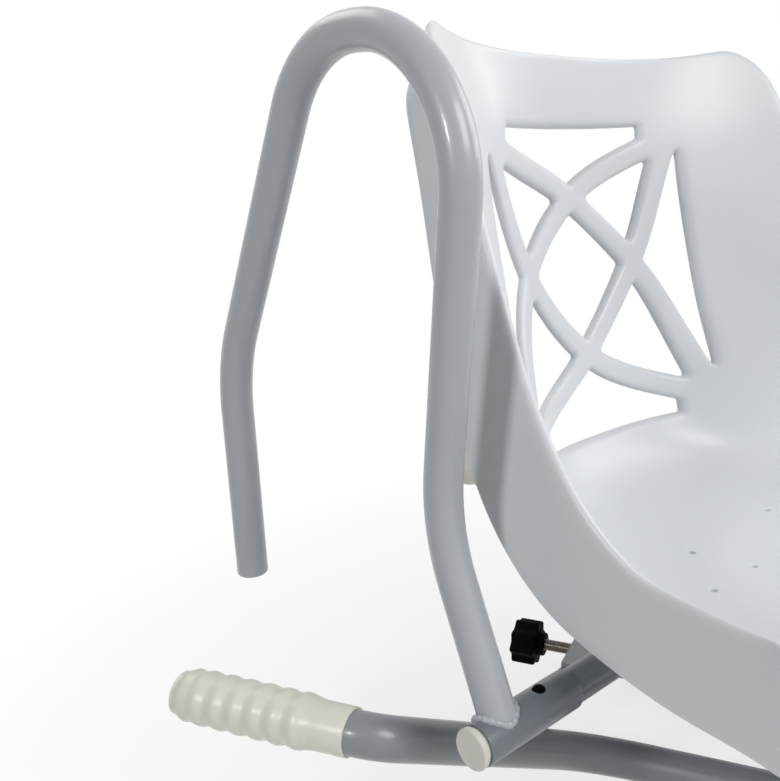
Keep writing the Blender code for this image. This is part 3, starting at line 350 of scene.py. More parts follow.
def piece_from(shape, name, body, slot, replaced=(), sharp=38.0, look=None):
    """Turns a bmesh in row coordinates into a piece that rides on a body and stands for the given nodes."""
    bmesh.ops.recalc_face_normals(shape, faces=shape.faces[:])
    piece = new_object(name, shape)
    piece.data.materials.append(finish_for(look or slot))
    shade(piece.data, sharp)
    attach(piece, body)
    if replaced:
        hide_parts(*replaced)
    return piece


def turned(profile, axis, place, sides, *piece, **look):
    """A piece lathed from one profile."""
    shape = bmesh.new()
    lathe(shape, profile, axis, place, sides)
    return piece_from(shape, *piece, **look)


def bridge(shape, loops):
    """Faces between each closed loop and the next. A loop is given as vertices, or as points for new ones."""
    loops = [[v if isinstance(v, bmesh.types.BMVert) else shape.verts.new(v) for v in loop] for loop in loops]
    for near, far in zip(loops, loops[1:]):
        for k in range(len(near)):
            n = (k + 1) % len(near)
            shape.faces.new((near[k], near[n], far[n], far[k]))


def lathe(shape, profile, axis, place, sides):
    """Spins a profile of (radius, distance along the axis) points about the axis through the place."""
    axis = Vector(axis).normalized()
    side = axis.orthogonal().normalized()
    points = [shape.verts.new(Vector(place) + side * radius + axis * along) for radius, along in profile]
    edges = [shape.edges.new(pair) for pair in zip(points, points[1:])]
    if profile[0][0] > 1e-6 and profile[-1][0] > 1e-6:
        edges.append(shape.edges.new((points[-1], points[0])))
    bmesh.ops.spin(shape, geom=points + edges, cent=place, axis=axis, angle=2.0 * math.pi, steps=sides,
                   use_merge=True, use_duplicate=False)
    bmesh.ops.remove_doubles(shape, verts=shape.verts[:], dist=1e-6)


def bent_line(corners, radii, arc_step=math.radians(3.0), step=0.02):
    """A line through the corners, with an arc of the given radius in each inner corner."""
    points = [Vector(corners[0])]
    for k in range(1, len(corners) - 1):
        before, here, after = (Vector(corners[k + d]) for d in (-1, 0, 1))
        a = (before - here).normalized()
        b = (after - here).normalized()
        turn = math.pi - a.angle(b)
        reach = radii[k - 1] * math.tan(turn / 2.0)
        centre = here + (a + b).normalized() * (radii[k - 1] / math.cos(turn / 2.0))
        start = here + a * reach - centre
        axis = start.cross(here + b * reach - centre).normalized()
        steps = max(2, math.ceil(turn / arc_step))
        points += [centre + Matrix.Rotation(turn * s / steps, 3, axis) @ start for s in range(steps + 1)]
    points.append(Vector(corners[-1]))
    fine = []
    for a, b in zip(points, points[1:]):
        count = max(1, round((b - a).length / step))
        fine += [a.lerp(b, k / count) for k in range(count)]
    return fine + [points[-1]]


def sweep(shape, stations, sides=56):
    """Extrudes a circle through (point, radius) stations and closes both ends."""
    way = (stations[1][0] - stations[0][0]).normalized()
    turn = way.to_track_quat("Z", "Y")
    grip = Matrix.LocRotScale(stations[0][0], turn, (stations[0][1],) * 3)
    bmesh.ops.create_circle(shape, cap_ends=False, radius=1.0, segments=sides, matrix=grip)
    edges = shape.edges[:]
    bmesh.ops.holes_fill(shape, edges=edges, sides=0)
    for k in range(1, len(stations)):
        place, radius = stations[k]
        ahead = stations[min(k + 1, len(stations) - 1)][0]
        fresh = (ahead - stations[k - 1][0]).normalized()
        turn = way.rotation_difference(fresh) @ turn
        way = fresh
        target = Matrix.LocRotScale(place, turn, (radius,) * 3)
        made = bmesh.ops.extrude_edge_only(shape, edges=edges)
        ring = [g for g in made["geom"] if isinstance(g, bmesh.types.BMVert)]
        edges = [g for g in made["geom"] if isinstance(g, bmesh.types.BMEdge)]
        bmesh.ops.transform(shape, matrix=target @ grip.inverted(), verts=ring)
        grip = target
    bmesh.ops.holes_fill(shape, edges=edges, sides=0)


def domed(points, radius, edge, steps=6):
    """Stations along the points whose last end is rounded with the given edge radius."""
    way = (points[-1] - points[-2]).normalized()
    stations = [(p, radius) for p in points[:-1]]
    start = points[-1] - way * edge
    for k in range(steps + 1):
        angle = math.pi / 2.0 * k / steps
        stations.append((start + way * edge * math.sin(angle), radius - edge * (1.0 - math.cos(angle))))
    return stations


def arc_profile(centre, radius, first, last, steps):
    """Points of an arc in a profile, with angles in degrees from the outward direction."""
    return [(centre[0] + radius * math.cos(math.radians(a)), centre[1] + radius * math.sin(math.radians(a)))
            for a in np.linspace(first, last, steps)]


def to_base(x, y, z):
    return BASE @ Vector((x, y, z))


def base_way(x, y, z):
    return BASE.to_3x3() @ Vector((x, y, z))


# ---- the moulded shell


def run_along(line):
    """The distance of each point of a line from its start."""
    return np.concatenate([[0.0], np.cumsum(np.hypot(*np.diff(line, axis=0).T))])


def curves_through(values, where, count):
    """Values at even steps on smooth curves through the given ones."""
    slopes = np.gradient(values, where, axis=0)
    spots = np.linspace(0.0, where[-1], count)
    k = np.clip(np.searchsorted(where, spots) - 1, 0, len(where) - 2)
    span = (where[k + 1] - where[k])[:, None]
    u = (spots - where[k])[:, None] / span
    return ((2 * u ** 3 - 3 * u ** 2 + 1) * values[k] + (u ** 3 - 2 * u ** 2 + u) * span * slopes[k]
            + (3 * u ** 2 - 2 * u ** 3) * values[k + 1] + (u ** 3 - u ** 2) * span * slopes[k + 1])


def unit(vectors):
    return vectors / np.maximum(np.linalg.norm(vectors, axis=-1, keepdims=True), 1e-12)


def sideways(along):
    """Unit directions to the right of flat ones."""
    return np.stack([along[:, 1], -along[:, 0]], 1) / np.hypot(*along.T)[:, None]


def across(p, q):
    """The cross product of flat vectors."""
    return p[..., 0] * q[..., 1] - p[..., 1] * q[..., 0]


class ShellSurface:
    """The seat's inner face over (across, along) in metres, and its offsets."""

    def __init__(self):
        """Reads the stations densely along the middle line and smooths them."""
        table = np.array([[*s[0], *s[1], *s[2], s[3], s[4]] for s in STATIONS])
        where = run_along(table[:, :2])
        dense = curves_through(table, where, 601)
        reach, spread = 60, 14.0
        weights = np.exp(-0.5 * (np.arange(-reach, reach + 1) / spread) ** 2)
        weights /= weights.sum()
        padded = np.vstack([2.0 * dense[0] - dense[reach:0:-1], dense, 2.0 * dense[-1] - dense[-2:-reach - 2:-1]])
        self.table = np.stack([np.convolve(column, weights, "valid") for column in padded.T], 1)
        self.length = where[-1]

    def rows(self, along):
        index = np.clip(along / self.length, 0.0, 1.0) * (len(self.table) - 1)
        low = np.minimum(index.astype(int), len(self.table) - 2)
        part = (index - low)[..., None]
        return self.table[low] * (1.0 - part) + self.table[low + 1] * part

    def points(self, place):
        my, mz, ry, rz, _, _, inset, power = np.moveaxis(self.rows(place[:, 1]), -1, 0)
        t = place[:, 0] / SHELL_HALF
        rise = np.abs(t) ** power
        return np.stack([(SHELL_HALF - inset) * t, my + (ry - my) * rise,
                         CARRIER_HEIGHT + mz + (rz - mz) * rise], 1)

    def normals(self, place):
        step = 0.0008
        place = np.clip(place, [-SHELL_HALF + step, step], [SHELL_HALF - step, self.length - step])
        a, b = (self.points(place + way) - self.points(place - way) for way in np.array([[step, 0.0], [0.0, step]]))
        return unit(np.cross(a, b))

    def deep(self, place, depth):
        return self.points(place) - self.normals(place) * depth

    def settle(self, start, target, depth, upright):
        """Moves surface places until their points at a depth match the target seen along the cut."""
        place = np.array(start, float)
        for _ in range(14):
            spot = self.deep(place, depth)
            seen = spot[:, 2] - CARRIER_HEIGHT + CUT_LEAN * (spot[:, 1] - CUT_MIDDLE_Y) if upright else spot[:, 1]
            place[:, 0] += target[:, 0] - spot[:, 0]
            place[:, 1] += target[:, 1] - seen
            place[:, 1] = np.clip(place[:, 1], 0.002, self.length - 0.002)
        return place


def lattice_bars():
    """Middle lines of the four curved bars: two, and their mirror images, each drawn out straight at its ends."""
    lines = []
    for corners in ([(-TOP_JOINT[0], TOP_JOINT[1]), (0.0, TOP_NODE), SIDE_NODE, LOW_JOINT],
                    [(-TOP_JOINT[0], TOP_JOINT[1]), (-SIDE_NODE[0], SIDE_NODE[1]), (0.0, LOW_NODE), LOW_JOINT]):
        corners = np.array(corners, float)
        curve = curves_through(corners, run_along(corners), 112)
        curve = np.vstack([curve[0] + (curve[0] - curve[1]) * 24.0, curve, curve[-1] + (curve[-1] - curve[-2]) * 24.0])
        lines += [curve, curve * [-1.0, 1.0]]
    return lines


def crossing(first, second, near):
    """Where two lines cross, nearest to a point: the running index on each."""
    start, r, s = first[:-1, None], np.diff(first, axis=0)[:, None], np.diff(second, axis=0)
    gap, down = second[:-1] - start, across(r, s)
    down = np.where(np.abs(down) < 1e-14, 1e-14, down)
    u, v = across(gap, s) / down, across(gap, r) / down
    i, j = np.nonzero((np.abs(u - 0.5) <= 0.5 + 1e-9) & (np.abs(v - 0.5) <= 0.5 + 1e-9))
    u, v = u[i, j], v[i, j]
    best = np.argmin(np.hypot(*(first[i] + r[i, 0] * u[:, None] - near).T))
    return i[best] + u[best], j[best] + v[best]


def read_line(line, run, at):
    """Points of a line at the given values of what runs along it."""
    return np.stack([np.interp(at, run, line[:, n]) for n in (0, 1)], -1)


def along_side(side, distance):
    return read_line(side, run_along(side), distance)


def bend(start, corner, end, count):
    """Points of a curve from start to end that the corner between them draws outwards."""
    return [start * (1 - u) ** 2 + corner * 2 * u * (1 - u) + end * u * u for u in np.linspace(0.0, 1.0, count)]


def rounded(loop, radius):
    """Rounds the corners of a closed loop of sides and spaces its points evenly."""
    lengths = [run_along(side)[-1] for side in loop]
    reaches = []
    for k, side in enumerate(loop):
        a = loop[k - 1][-2] - loop[k - 1][-1]
        b = side[1] - side[0]
        half = math.acos(np.clip(a @ b / np.hypot(*a) / np.hypot(*b), -1.0, 1.0)) / 2.0
        reaches.append(min(radius / math.tan(half), 0.45 * lengths[k - 1], 0.45 * lengths[k]))
    points = []
    for k, side in enumerate(loop):
        reach, after = reaches[k], reaches[(k + 1) % len(loop)]
        points += bend(along_side(loop[k - 1], lengths[k - 1] - reach), side[0], along_side(side, reach), 9)
        count = max(3, int((lengths[k] - reach - after) / OUTLINE_STEP))
        points += list(along_side(side, np.linspace(reach, lengths[k] - after, count + 2)[1:-1]))
    return np.array(points)


def lattice_outlines(radius):
    """Outlines of the nine openings in x and height, counted the same way round."""
    upper, upper_mirror, lower, lower_mirror = lattice_bars()
    half = BAR / 2.0
    flip = [-1.0, 1.0]
    top, low = (np.array([[-SHELL_HALF, z], [SHELL_HALF, z]]) for z in (WINDOW_TOP, WINDOW_LOW))
    top_end, low_end = (np.array([[x, z - 0.1], [x, z + 0.1]])
                        for x, z in ((WINDOW_TOP_HALF, WINDOW_TOP), (WINDOW_LOW_HALF, WINDOW_LOW)))
    side_low, side_top = np.array(WINDOW_SIDE)
    side = np.array([side_low - (side_top - side_low) / 2.0, side_top + (side_top - side_low) / 2.0])
    # Where the sides meet: n1 to n4 inside the lattice, the others on its frame
    n1, n3, n4 = (0.0, TOP_NODE), SIDE_NODE, (0.0, LOW_NODE)
    tr, br = TOP_JOINT, LOW_JOINT
    n2, tl, bl = ((-x, z) for x, z in (n3, tr, br))
    openings = [
        ([(top, 0), (top_end * flip, 0), (upper, half), (upper_mirror, -half), (top_end, 0)],
         [tr, tl, tl, n1, tr], False),
        ([(upper_mirror, half), (upper, half), (lower_mirror, -half)], [tr, n1, n3], True),
        ([(lower_mirror, half), (upper, half), (side, 0)], [tr, n3, br], True),
        ([(upper, -half), (lower_mirror, -half), (lower, half), (upper_mirror, half)], [n1, n3, n4, n2], False),
        ([(upper, -half), (lower, half), (lower_mirror, half)], [n3, br, n4], True),
        ([(lower, -half), (low_end, 0), (low, 0), (low_end * flip, 0), (lower_mirror, half)],
         [n4, br, br, bl, bl], False),
    ]
    outlines = []
    for sides, corners, mirrored in openings:
        lines = [line - sideways(np.gradient(line, axis=0)) * shift for line, shift in sides]
        spots = [crossing(lines[k - 1], lines[k], np.array(corners[k])) for k in range(len(lines))]
        loop = []
        for k, line in enumerate(lines):
            at = np.linspace(spots[k][1], spots[(k + 1) % len(lines)][0], 33)
            loop.append(read_line(line, np.arange(len(line)), at))
        outlines.append(rounded(loop, radius))
        if mirrored:
            outlines.append(outlines[-1] * flip)
    return outlines


def outward(outline):
    """Unit normals of a closed outline that point away from its inside."""
    ahead, behind = np.roll(outline, -1, 0), np.roll(outline, 1, 0)
    return sideways(ahead - behind) * (1.0 if np.sum(across(outline, ahead)) > 0.0 else -1.0)


def inside(points, polygon):
    """Which points lie inside a closed polygon."""
    x, y = points[:, 0], points[:, 1]
    result = np.zeros(len(points), bool)
    for (ax, ay), (bx, by) in zip(polygon, np.roll(polygon, -1, 0)):
        crosses = (ay > y) != (by > y)
        result ^= crosses & (x < (bx - ax) * (y - ay) / (by - ay + 1e-15) + ax)
    return result


def near_line(points, polygon, reach):
    """Which points lie within a distance of a closed polygon's sides."""
    close = np.zeros(len(points), bool)
    for a, b in zip(polygon, np.roll(polygon, -1, 0)):
        span = b - a
        u = np.clip(((points - a) @ span) / max(span @ span, 1e-15), 0.0, 1.0)
        close |= np.hypot(*(points - a - u[:, None] * span).T) < reach
    return close


def shell_border(surface, spacing):
    """The face's outer edge over (across, along), with rounded corners and evenly spaced points."""
    half, length = SHELL_HALF, surface.length
    low, high = CORNER_LOW, CORNER_HIGH
    loop = []
    for cx, cy, radius, first in ((half - low, low, low, -90.0), (half - high, length - high, high, 0.0),
                                  (high - half, length - high, high, 90.0), (low - half, low, low, 180.0)):
        loop += arc_profile((cx, cy), radius, first, first + 90.0, 13)
    closed = np.array(loop + loop[:1])
    run = run_along(closed)
    at = np.linspace(0.0, run[-1], int(run[-1] / spacing), endpoint=False)
    return read_line(closed, run, at)


def fill_face(shape, surface, border, holes, spacing, depth):
    """Adds triangles at a depth between the face's border and its holes. Gives the vertices of both."""
    grid = np.array([(x, y) for x in np.arange(-SHELL_HALF, SHELL_HALF + 1e-6, spacing)
                     for y in np.arange(0.0, surface.length + 1e-6, spacing)])
    keep = inside(grid, border) & ~near_line(grid, border, spacing * 0.55)
    for hole in holes:
        box = (grid > hole.min(0) - spacing).all(1) & (grid < hole.max(0) + spacing).all(1)
        keep[box] &= ~(inside(grid[box], hole) | near_line(grid[box], hole, spacing * 0.5))
    loops = [border, *holes]
    starts = [sum(map(len, loops[:k])) for k in range(len(loops))]
    edges = [(start + k, start + (k + 1) % len(loop)) for start, loop in zip(starts, loops) for k in range(len(loop))]
    made = delaunay_2d_cdt([Vector(p) for p in np.vstack([*loops, grid[keep]])], edges, [], 0, 1e-7)
    places = np.array([tuple(p) for p in made[0]])
    triangles = np.array([f for f in made[2] if len(f) == 3])
    middles = places[triangles].mean(1)
    good = inside(middles, border)
    for hole in holes:
        good &= ~inside(middles, hole)
    verts = [shape.verts.new(p) for p in surface.deep(places, depth)]
    for triangle in triangles[good]:
        shape.faces.new([verts[k] for k in triangle])
    given = {origin: vert for vert, origins in zip(verts, made[3]) for origin in origins}
    return [[given[start + k] for k in range(len(loop))] for start, loop in zip(starts, loops)]


def roll_points(surface, border):
    """Rings of points from the face's border over the rolled rim and down to the skirt's edge."""
    here = surface.points(border)
    normal = outward(border)
    out = here - surface.points(border - normal * 0.003)
    rim = unit(np.roll(here, -1, 0) - np.roll(here, 1, 0))
    out = unit(out - rim * np.sum(out * rim, axis=1)[:, None])
    # 1 where the rim turns into the skirt at the sides, 0 where the front and the top have a lip
    t = np.abs(border[:, 0]) / SHELL_HALF
    weight = np.clip(t ** 6 + (1.0 - t ** 6) * normal[:, 0] ** 2, 0.0, 1.0)[:, None]
    rows = surface.rows(border[:, 1])
    skirt = np.stack([here[:, 0] + np.sign(border[:, 0]) * SKIRT_FLARE, rows[:, 4], CARRIER_HEIGHT + rows[:, 5]], 1)
    lip = np.where(normal[:, 1:] > 0.0, np.array([TOP_LIP]), np.array([FRONT_LIP]))
    target = (here + lip) * (1.0 - weight) + skirt * weight
    for _ in range(6):
        target = (np.roll(target, 1, 0) + target * 2.0 + np.roll(target, -1, 0)) / 4.0
    # A soft round over the corner where the face's own slope would meet the skirt, then straight down
    reach = RIM_REACH + RIM_WIDER * weight
    corner = here + out * reach
    fall = target - corner
    drop = np.linalg.norm(fall, axis=1)[:, None]
    end = corner + fall / drop * np.minimum(reach * 1.25, drop * 0.6)
    return np.array(bend(here, corner, end, 12) + [end + (target - end) * u for u in np.linspace(0.0, 1.0, 7)[1:]])


class BATHSEAT_OT_shell(bpy.types.Operator):
    """Build the moulded bucket seat with its flared lattice openings and rolled rim"""
    bl_idname = "bath_seat.shell"
    bl_label = "Seat shell"

    def execute(self, context):
        sizes = context.scene.bath_seat_shell
        wall, flare, spacing = sizes.wall, sizes.flare, sizes.spacing
        surface = ShellSurface()
        border = shell_border(surface, spacing)
        bands = []
        # Each band starts from a rough guess of its places on the surface, which settle() corrects
        for outline in lattice_outlines(sizes.corner):
            along = surface.length - 0.43 + outline[:, 1].mean()
            start = np.stack([outline[:, 0], np.full(len(outline), along)], 1)
            bands.append(self.band(surface, outline, start, wall, flare, WINDOW_BACK, True))
        for x, y in DRAIN_SPOTS:
            for side in (-1.0, 1.0):
                circle = np.array(arc_profile((side * x, y), DRAIN_RADIUS, 0.0, 342.0, 20))
                bands.append(self.band(surface, circle, circle + [0.0, 0.255], wall, DRAIN_FLARE, DRAIN_BACK, False))
        shape = bmesh.new()
        front = fill_face(shape, surface, border, [band[0][0] for band in bands], spacing, 0.0)
        back = fill_face(shape, surface, border, [band[-1][0] for band in bands], spacing, wall)
        for k, band in enumerate(bands, 1):
            bridge(shape, [front[k], *(points for _, points in band[1:-1]), back[k]])
        rings = roll_points(surface, border)
        face_normal = surface.normals(border)
        normals = unit(np.cross(np.roll(rings, -1, 1) - np.roll(rings, 1, 1), np.gradient(rings, axis=0)))
        normals *= np.sign(np.sum(normals[1] * face_normal))
        normals[0] = face_normal
        for _ in range(2):
            normals[1:-1] = (normals[:-2] + normals[1:-1] * 2.0 + normals[2:]) / 4.0
        normals = unit(normals)
        # The wall thins into the roll, whose radius is smaller than the face's wall
        thin = wall * 0.5
        walls = np.interp(np.arange(1, len(rings)), [0, 4], [wall, thin])
        inner = rings[1:] - normals[1:] * walls[:, None, None]
        edge, depth = rings[-1], unit(rings[-1] - rings[-2])
        lip = [edge - normals[-1] * thin / 2.0 * (1.0 - math.cos(a)) + depth * thin / 2.0 * math.sin(a)
               for a in map(math.radians, (30.0, 60.0, 90.0, 120.0, 150.0))]
        bridge(shape, [front[0], *rings[1:], *lip, *inner[::-1], back[0]])
        piece_from(shape, "moulded_shell", "seat", "seat_plastic", ["seat_shell"], 80.0)
        self.bosses()
        return {"FINISHED"}

    @staticmethod
    def band(surface, outline, start, wall, flare, back_edge, upright):
        """Places and points from the front of an opening through its wall to the back."""
        normal = outward(outline)
        steps = [(flare * (1.0 - math.sin(a)), min(flare, wall * 0.8) * (1.0 - math.cos(a)))
                 for a in np.linspace(0.0, math.pi / 2.0, 7)]
        deepest = steps[-1][1]
        low = wall - back_edge
        steps.append((0.0, (deepest + low) / 2.0))
        steps += [(back_edge * (1.0 - math.cos(b)), low + back_edge * math.sin(b))
                  for b in np.linspace(0.0, math.pi / 2.0, 4)]
        place = surface.settle(start, outline, 0.0, upright)
        facing = np.abs(surface.normals(place))
        # Seen along the cut, a steep side of the seat shows its flare narrowed
        scale = np.stack([facing[:, 1 if upright else 2]] * 2, 1)
        band = []
        for out, depth in steps:
            place = surface.settle(place, outline + normal * out * scale, depth, upright)
            band.append((place.copy(), surface.deep(place, depth)))
        return band

    @staticmethod
    def bosses():
        """Round bosses under the pan, each with a screw hole and a fillet at its root."""
        shape = bmesh.new()
        for x in (-BOSS_X, BOSS_X):
            for y in (-BOSS_Y, BOSS_Y):
                profile = [(0.0029, 0.0), (0.0034, -0.0005), (0.0092, -0.0005), (0.0100, 0.0003), (0.0100, 0.0055),
                           (0.0104, 0.0070), (0.0120, 0.0084), (0.0120, 0.0100), (0.0029, 0.0100)]
                lathe(shape, profile, (0, 0, 1), (x, y, BOSS_HEIGHT), 40)
        piece_from(shape, "shell_bosses", "seat", "seat_plastic")


# ---- tubes, grips, knob and buttons


class BATHSEAT_OT_armrest(bpy.types.Operator):
    """Build the bent armrest tube, its sleeve, the weld between them and the sleeve's cap"""
    bl_idname = "bath_seat.armrest"
    bl_label = "Armrest"

    def execute(self, context):
        corners = [(0.0, 0.004), (0.053, 0.1242), (0.0162, 0.4208), (0.1703, 0.4208), (0.303, 0.1814),
                   (0.3012, 0.002)]
        corners = [(ARM_X, y, CARRIER_HEIGHT + z) for y, z in corners]
        line = bent_line(corners, [0.139, 0.0857, 0.0857, 0.139])
        shape = bmesh.new()
        sweep(shape, domed(line, ARM_TUBE, 0.0026))
        piece_from(shape, "armrest_tube", "seat", "grey_enamel", ["armrest"])
        outer, inner = SLEEVE_OUTER, SLEEVE_INNER
        profile = [(SLEEVE_BORE, outer), (0.0133, outer), (0.0139, outer + 0.0003), (SLEEVE, outer + 0.0009),
                   (SLEEVE, inner - 0.0009), (0.0137, inner - 0.0003), (0.0131, inner), (SLEEVE_BORE, inner)]
        # The sleeve takes the darker finish, painted shade for the seat's shadow on it
        piece = turned(profile, (1, 0, 0), (0, 0, CARRIER_HEIGHT), 72, "armrest_sleeve", "seat", "grey_enamel",
                       look="sleeve")
        self.button_hole(piece)
        self.weld(line)
        profile = [(0.0, -0.0012), (0.0122, -0.0012), (0.0122, 0.0012), (0.0127, 0.0015), (0.0134, 0.0017),
                   *arc_profile((0.0122, 0.0046), 0.0014, 0.0, 90.0, 6), (0.0095, 0.0059), (0.0, 0.0056)]
        turned(profile, (-1, 0, 0), (SLEEVE_OUTER, 0, CARRIER_HEIGHT), 72, "sleeve_end_cap", "seat",
               "ivory_plastic", ["sleeve_cap"])
        return {"FINISHED"}

    @staticmethod
    def button_hole(piece):
        """Cuts the hole in the sleeve that the spring button stands in."""
        shape = bmesh.new()
        bmesh.ops.create_cone(shape, cap_ends=True, segments=48, radius1=BUTTON_HOLE, radius2=BUTTON_HOLE,
                              depth=0.012, matrix=Matrix.Translation((-BUTTON_X, 0.0, CARRIER_HEIGHT + 0.015)))
        cutter = new_object("hole_cutter", shape)
        cut = piece.modifiers.new("button_hole", "BOOLEAN")
        cut.object = cutter
        bpy.context.view_layer.update()
        done = bpy.data.meshes.new_from_object(piece.evaluated_get(bpy.context.evaluated_depsgraph_get()))
        piece.modifiers.clear()
        piece.data = done
        shade(done)
        # This removes the cutter too
        bpy.data.meshes.remove(cutter.data)

    @staticmethod
    def weld(line):
        """A rippled bead round the tube's foot, where it meets the sleeve."""
        way = (line[3] - line[0]).normalized()
        side = Vector((1.0, 0.0, 0.0))
        front = way.cross(side).normalized()
        foot = Vector((ARM_X, 0.0, CARRIER_HEIGHT))
        shape = bmesh.new()
        rings = []
        for a in np.linspace(0.0, 2.0 * math.pi, 88, endpoint=False):
            radial = side * math.cos(a) + front * math.sin(a)
            start = foot + radial * SLEEVE_BORE
            # The tube has no lean sideways, so this is how far along it its side leaves the sleeve
            y, z = start.y - foot.y, start.z - foot.z
            back = y * way.y + z * way.z
            seam = start + way * (math.sqrt(back * back - y * y - z * z + SLEEVE ** 2) - back)
            up = (seam - Vector((seam.x, foot.y, foot.z))).normalized()
            lean = (radial - up * radial.dot(up)).normalized()
            bead = 0.0027 + 0.00030 * math.sin(a * 22.0) + 0.00018 * math.sin(a * 7.0 + 1.0)
            rings.append([shape.verts.new(seam + (lean * math.cos(b) + up * math.sin(b)) * bead)
                          for b in np.linspace(0.0, 2.0 * math.pi, 10, endpoint=False)])
        bridge(shape, rings + rings[:1])
        piece_from(shape, "armrest_weld", "seat", "grey_enamel")


class BATHSEAT_OT_base_tubes(bpy.types.Operator):
    """Build the two bent tubes of the base"""
    bl_idname = "bath_seat.base_tubes"
    bl_label = "Base tubes"

    def execute(self, context):
        # Corners as (y, height, distance from the base's middle)
        corners = [(-0.348, BOW_HEIGHT, BOW_X), (-0.194, BOW_HEIGHT, BOW_X), (-0.092, -0.093, 0.063)]
        corners += [(-y, z, x) for y, z, x in reversed(corners)]
        for name, side in (("left", -1.0), ("right", 1.0)):
            shape = bmesh.new()
            line = bent_line([to_base(side * x, y, z) for y, z, x in corners], [0.030, 0.080, 0.080, 0.030])
            sweep(shape, [(p, BASE_TUBE) for p in line])
            piece_from(shape, f"bow_{name}", "base", "dark_grey_enamel", [f"base_tube_{name}"])
        return {"FINISHED"}


class BATHSEAT_OT_grips(bpy.types.Operator):
    """Build the four ribbed vinyl grips"""
    bl_idname = "bath_seat.grips"
    bl_label = "Grips"

    def execute(self, context):
        ridges, length, neck, crest, valley, bore = 6, 0.1415, 0.030, 0.0189, 0.0174, 0.0151
        pitch = (length - neck - crest) / ridges
        profile = [(bore, 0.0), *arc_profile((0.0159, 0.0006), 0.0006, -90.0, 0.0, 4), (0.0165, neck - 0.006),
                   (0.0168, neck - 0.003)]
        for k in range(ridges * 12 + 1):
            u = k / 12.0
            wave = (0.5 - 0.5 * math.cos(2.0 * math.pi * u)) ** 0.8
            profile.append((valley + (crest - valley) * wave, neck + u * pitch))
        profile += arc_profile((0.0, length - crest), crest, 14.0, 90.0, 14)[:-1]
        profile += [(0.0, length), (0.0, length - 0.0047), (bore, length - 0.0047)]
        for x, across in ((-BOW_X, "left"), (BOW_X, "right")):
            for way, along in ((-1.0, "front"), (1.0, "rear")):
                turned(profile, base_way(0.0, way, 0.0), to_base(x, way * (GRIP_END - length), BOW_HEIGHT), 64,
                       f"vinyl_grip_{across}_{along}", "base", "ivory_vinyl", [f"grip_{across}_{along}"], 60.0)
        return {"FINISHED"}


class BATHSEAT_OT_lock(bpy.types.Operator):
    """Build the star knob and its threaded stud"""
    bl_idname = "bath_seat.lock"
    bl_label = "Lock screw"

    def execute(self, context):
        way = base_way(0.0, 1.0, 0.0)
        side = base_way(1.0, 0.0, 0.0)
        turn = Matrix((side, Vector((0, 0, 1)), way)).transposed().to_4x4()
        place = to_base(0.0, KNOB_NEAR, LOCK_HEIGHT)
        shape = bmesh.new()
        lobes, steps, crest, dip = 8, 14, 0.0199, 0.0035
        for v in bmesh.ops.create_circle(shape, cap_ends=True, radius=crest, segments=lobes * steps)["verts"]:
            a = math.atan2(v.co.y, v.co.x)
            v.co *= (crest - dip * (0.5 - 0.5 * math.cos(lobes * a)) ** 0.8) / crest
        made = bmesh.ops.extrude_face_region(shape, geom=shape.faces[:])
        top = [g for g in made["geom"] if isinstance(g, bmesh.types.BMVert)]
        bmesh.ops.translate(shape, verts=top, vec=(0.0, 0.0, KNOB_FAR - KNOB_NEAR - 0.0002))
        bmesh.ops.recalc_face_normals(shape, faces=shape.faces[:])
        rims = [e for e in shape.edges if len(e.link_faces) == 2 and any(len(f.verts) > 8 for f in e.link_faces)]
        bmesh.ops.bevel(shape, geom=rims, offset=0.0019, offset_type="OFFSET", segments=4, profile=0.5,
                        affect="EDGES", material=-1)
        ends = [f for f in shape.faces if len(f.verts) > 8 and f.normal.z > 0.9]
        for thickness, depth in ((0.0042, 0.0), (0.0012, -0.0011)):
            bmesh.ops.inset_region(shape, faces=ends, thickness=thickness, depth=depth)
        bmesh.ops.transform(shape, matrix=Matrix.Translation(place) @ turn, verts=shape.verts[:])
        hub = [(0.0, 0.002), (0.0108, 0.002), (0.0104, -0.0008), *arc_profile((0.0092, -0.0050), 0.0010, 0.0, -90.0, 4),
               (0.0056, -0.0060), (0.0054, -0.0052), (0.0, -0.0052)]
        lathe(shape, hub, way, place, 48)
        piece_from(shape, "star_knob", "lock_screw", "black_plastic", ["lock_knob"], 34.0)
        self.stud(way)
        return {"FINISHED"}

    @staticmethod
    def stud(way):
        """A stud whose thread is a helical ridge, between a plain tip and the knob."""
        first, last, thread_first, thread_last = 0.0642, 0.1712, 0.0705, 0.166
        pitch, crest, root, tip = 0.0015, 0.0050, 0.0042, 0.0035
        foot = to_base(0.0, 0.0, LOCK_HEIGHT)
        core = bmesh.new()
        lathe(core, [(0.0, first), (0.0034, first), (tip, first + 0.0006), (tip, 0.0689), (root, 0.0696),
                     (root, last), (0.0, last)], way, foot, 32)
        side = way.orthogonal().normalized()
        turns = int((thread_last - thread_first) / pitch)
        tooth = [(root - 0.0002, -pitch * 0.48), (crest, -pitch * 0.08), (crest, pitch * 0.08),
                 (root - 0.0002, pitch * 0.48)]
        verts = [core.verts.new(foot + way * (0.0712 + along) + side * radius) for radius, along in tooth]
        edges = [core.edges.new(pair) for pair in zip(verts, verts[1:] + verts[:1])]
        core.faces.new(verts)
        steps = 20
        made = bmesh.ops.spin(core, geom=verts + edges, cent=foot, axis=way, dvec=way * (pitch / steps),
                              angle=2.0 * math.pi * turns, steps=steps * turns, use_merge=False,
                              use_duplicate=False)
        last_verts = [g for g in made["geom_last"] if isinstance(g, bmesh.types.BMVert)]
        bmesh.ops.contextual_create(core, geom=last_verts)
        piece_from(core, "threaded_stud", "lock_screw", "zinc_steel", ["lock_stud"], 30.0, "stud")


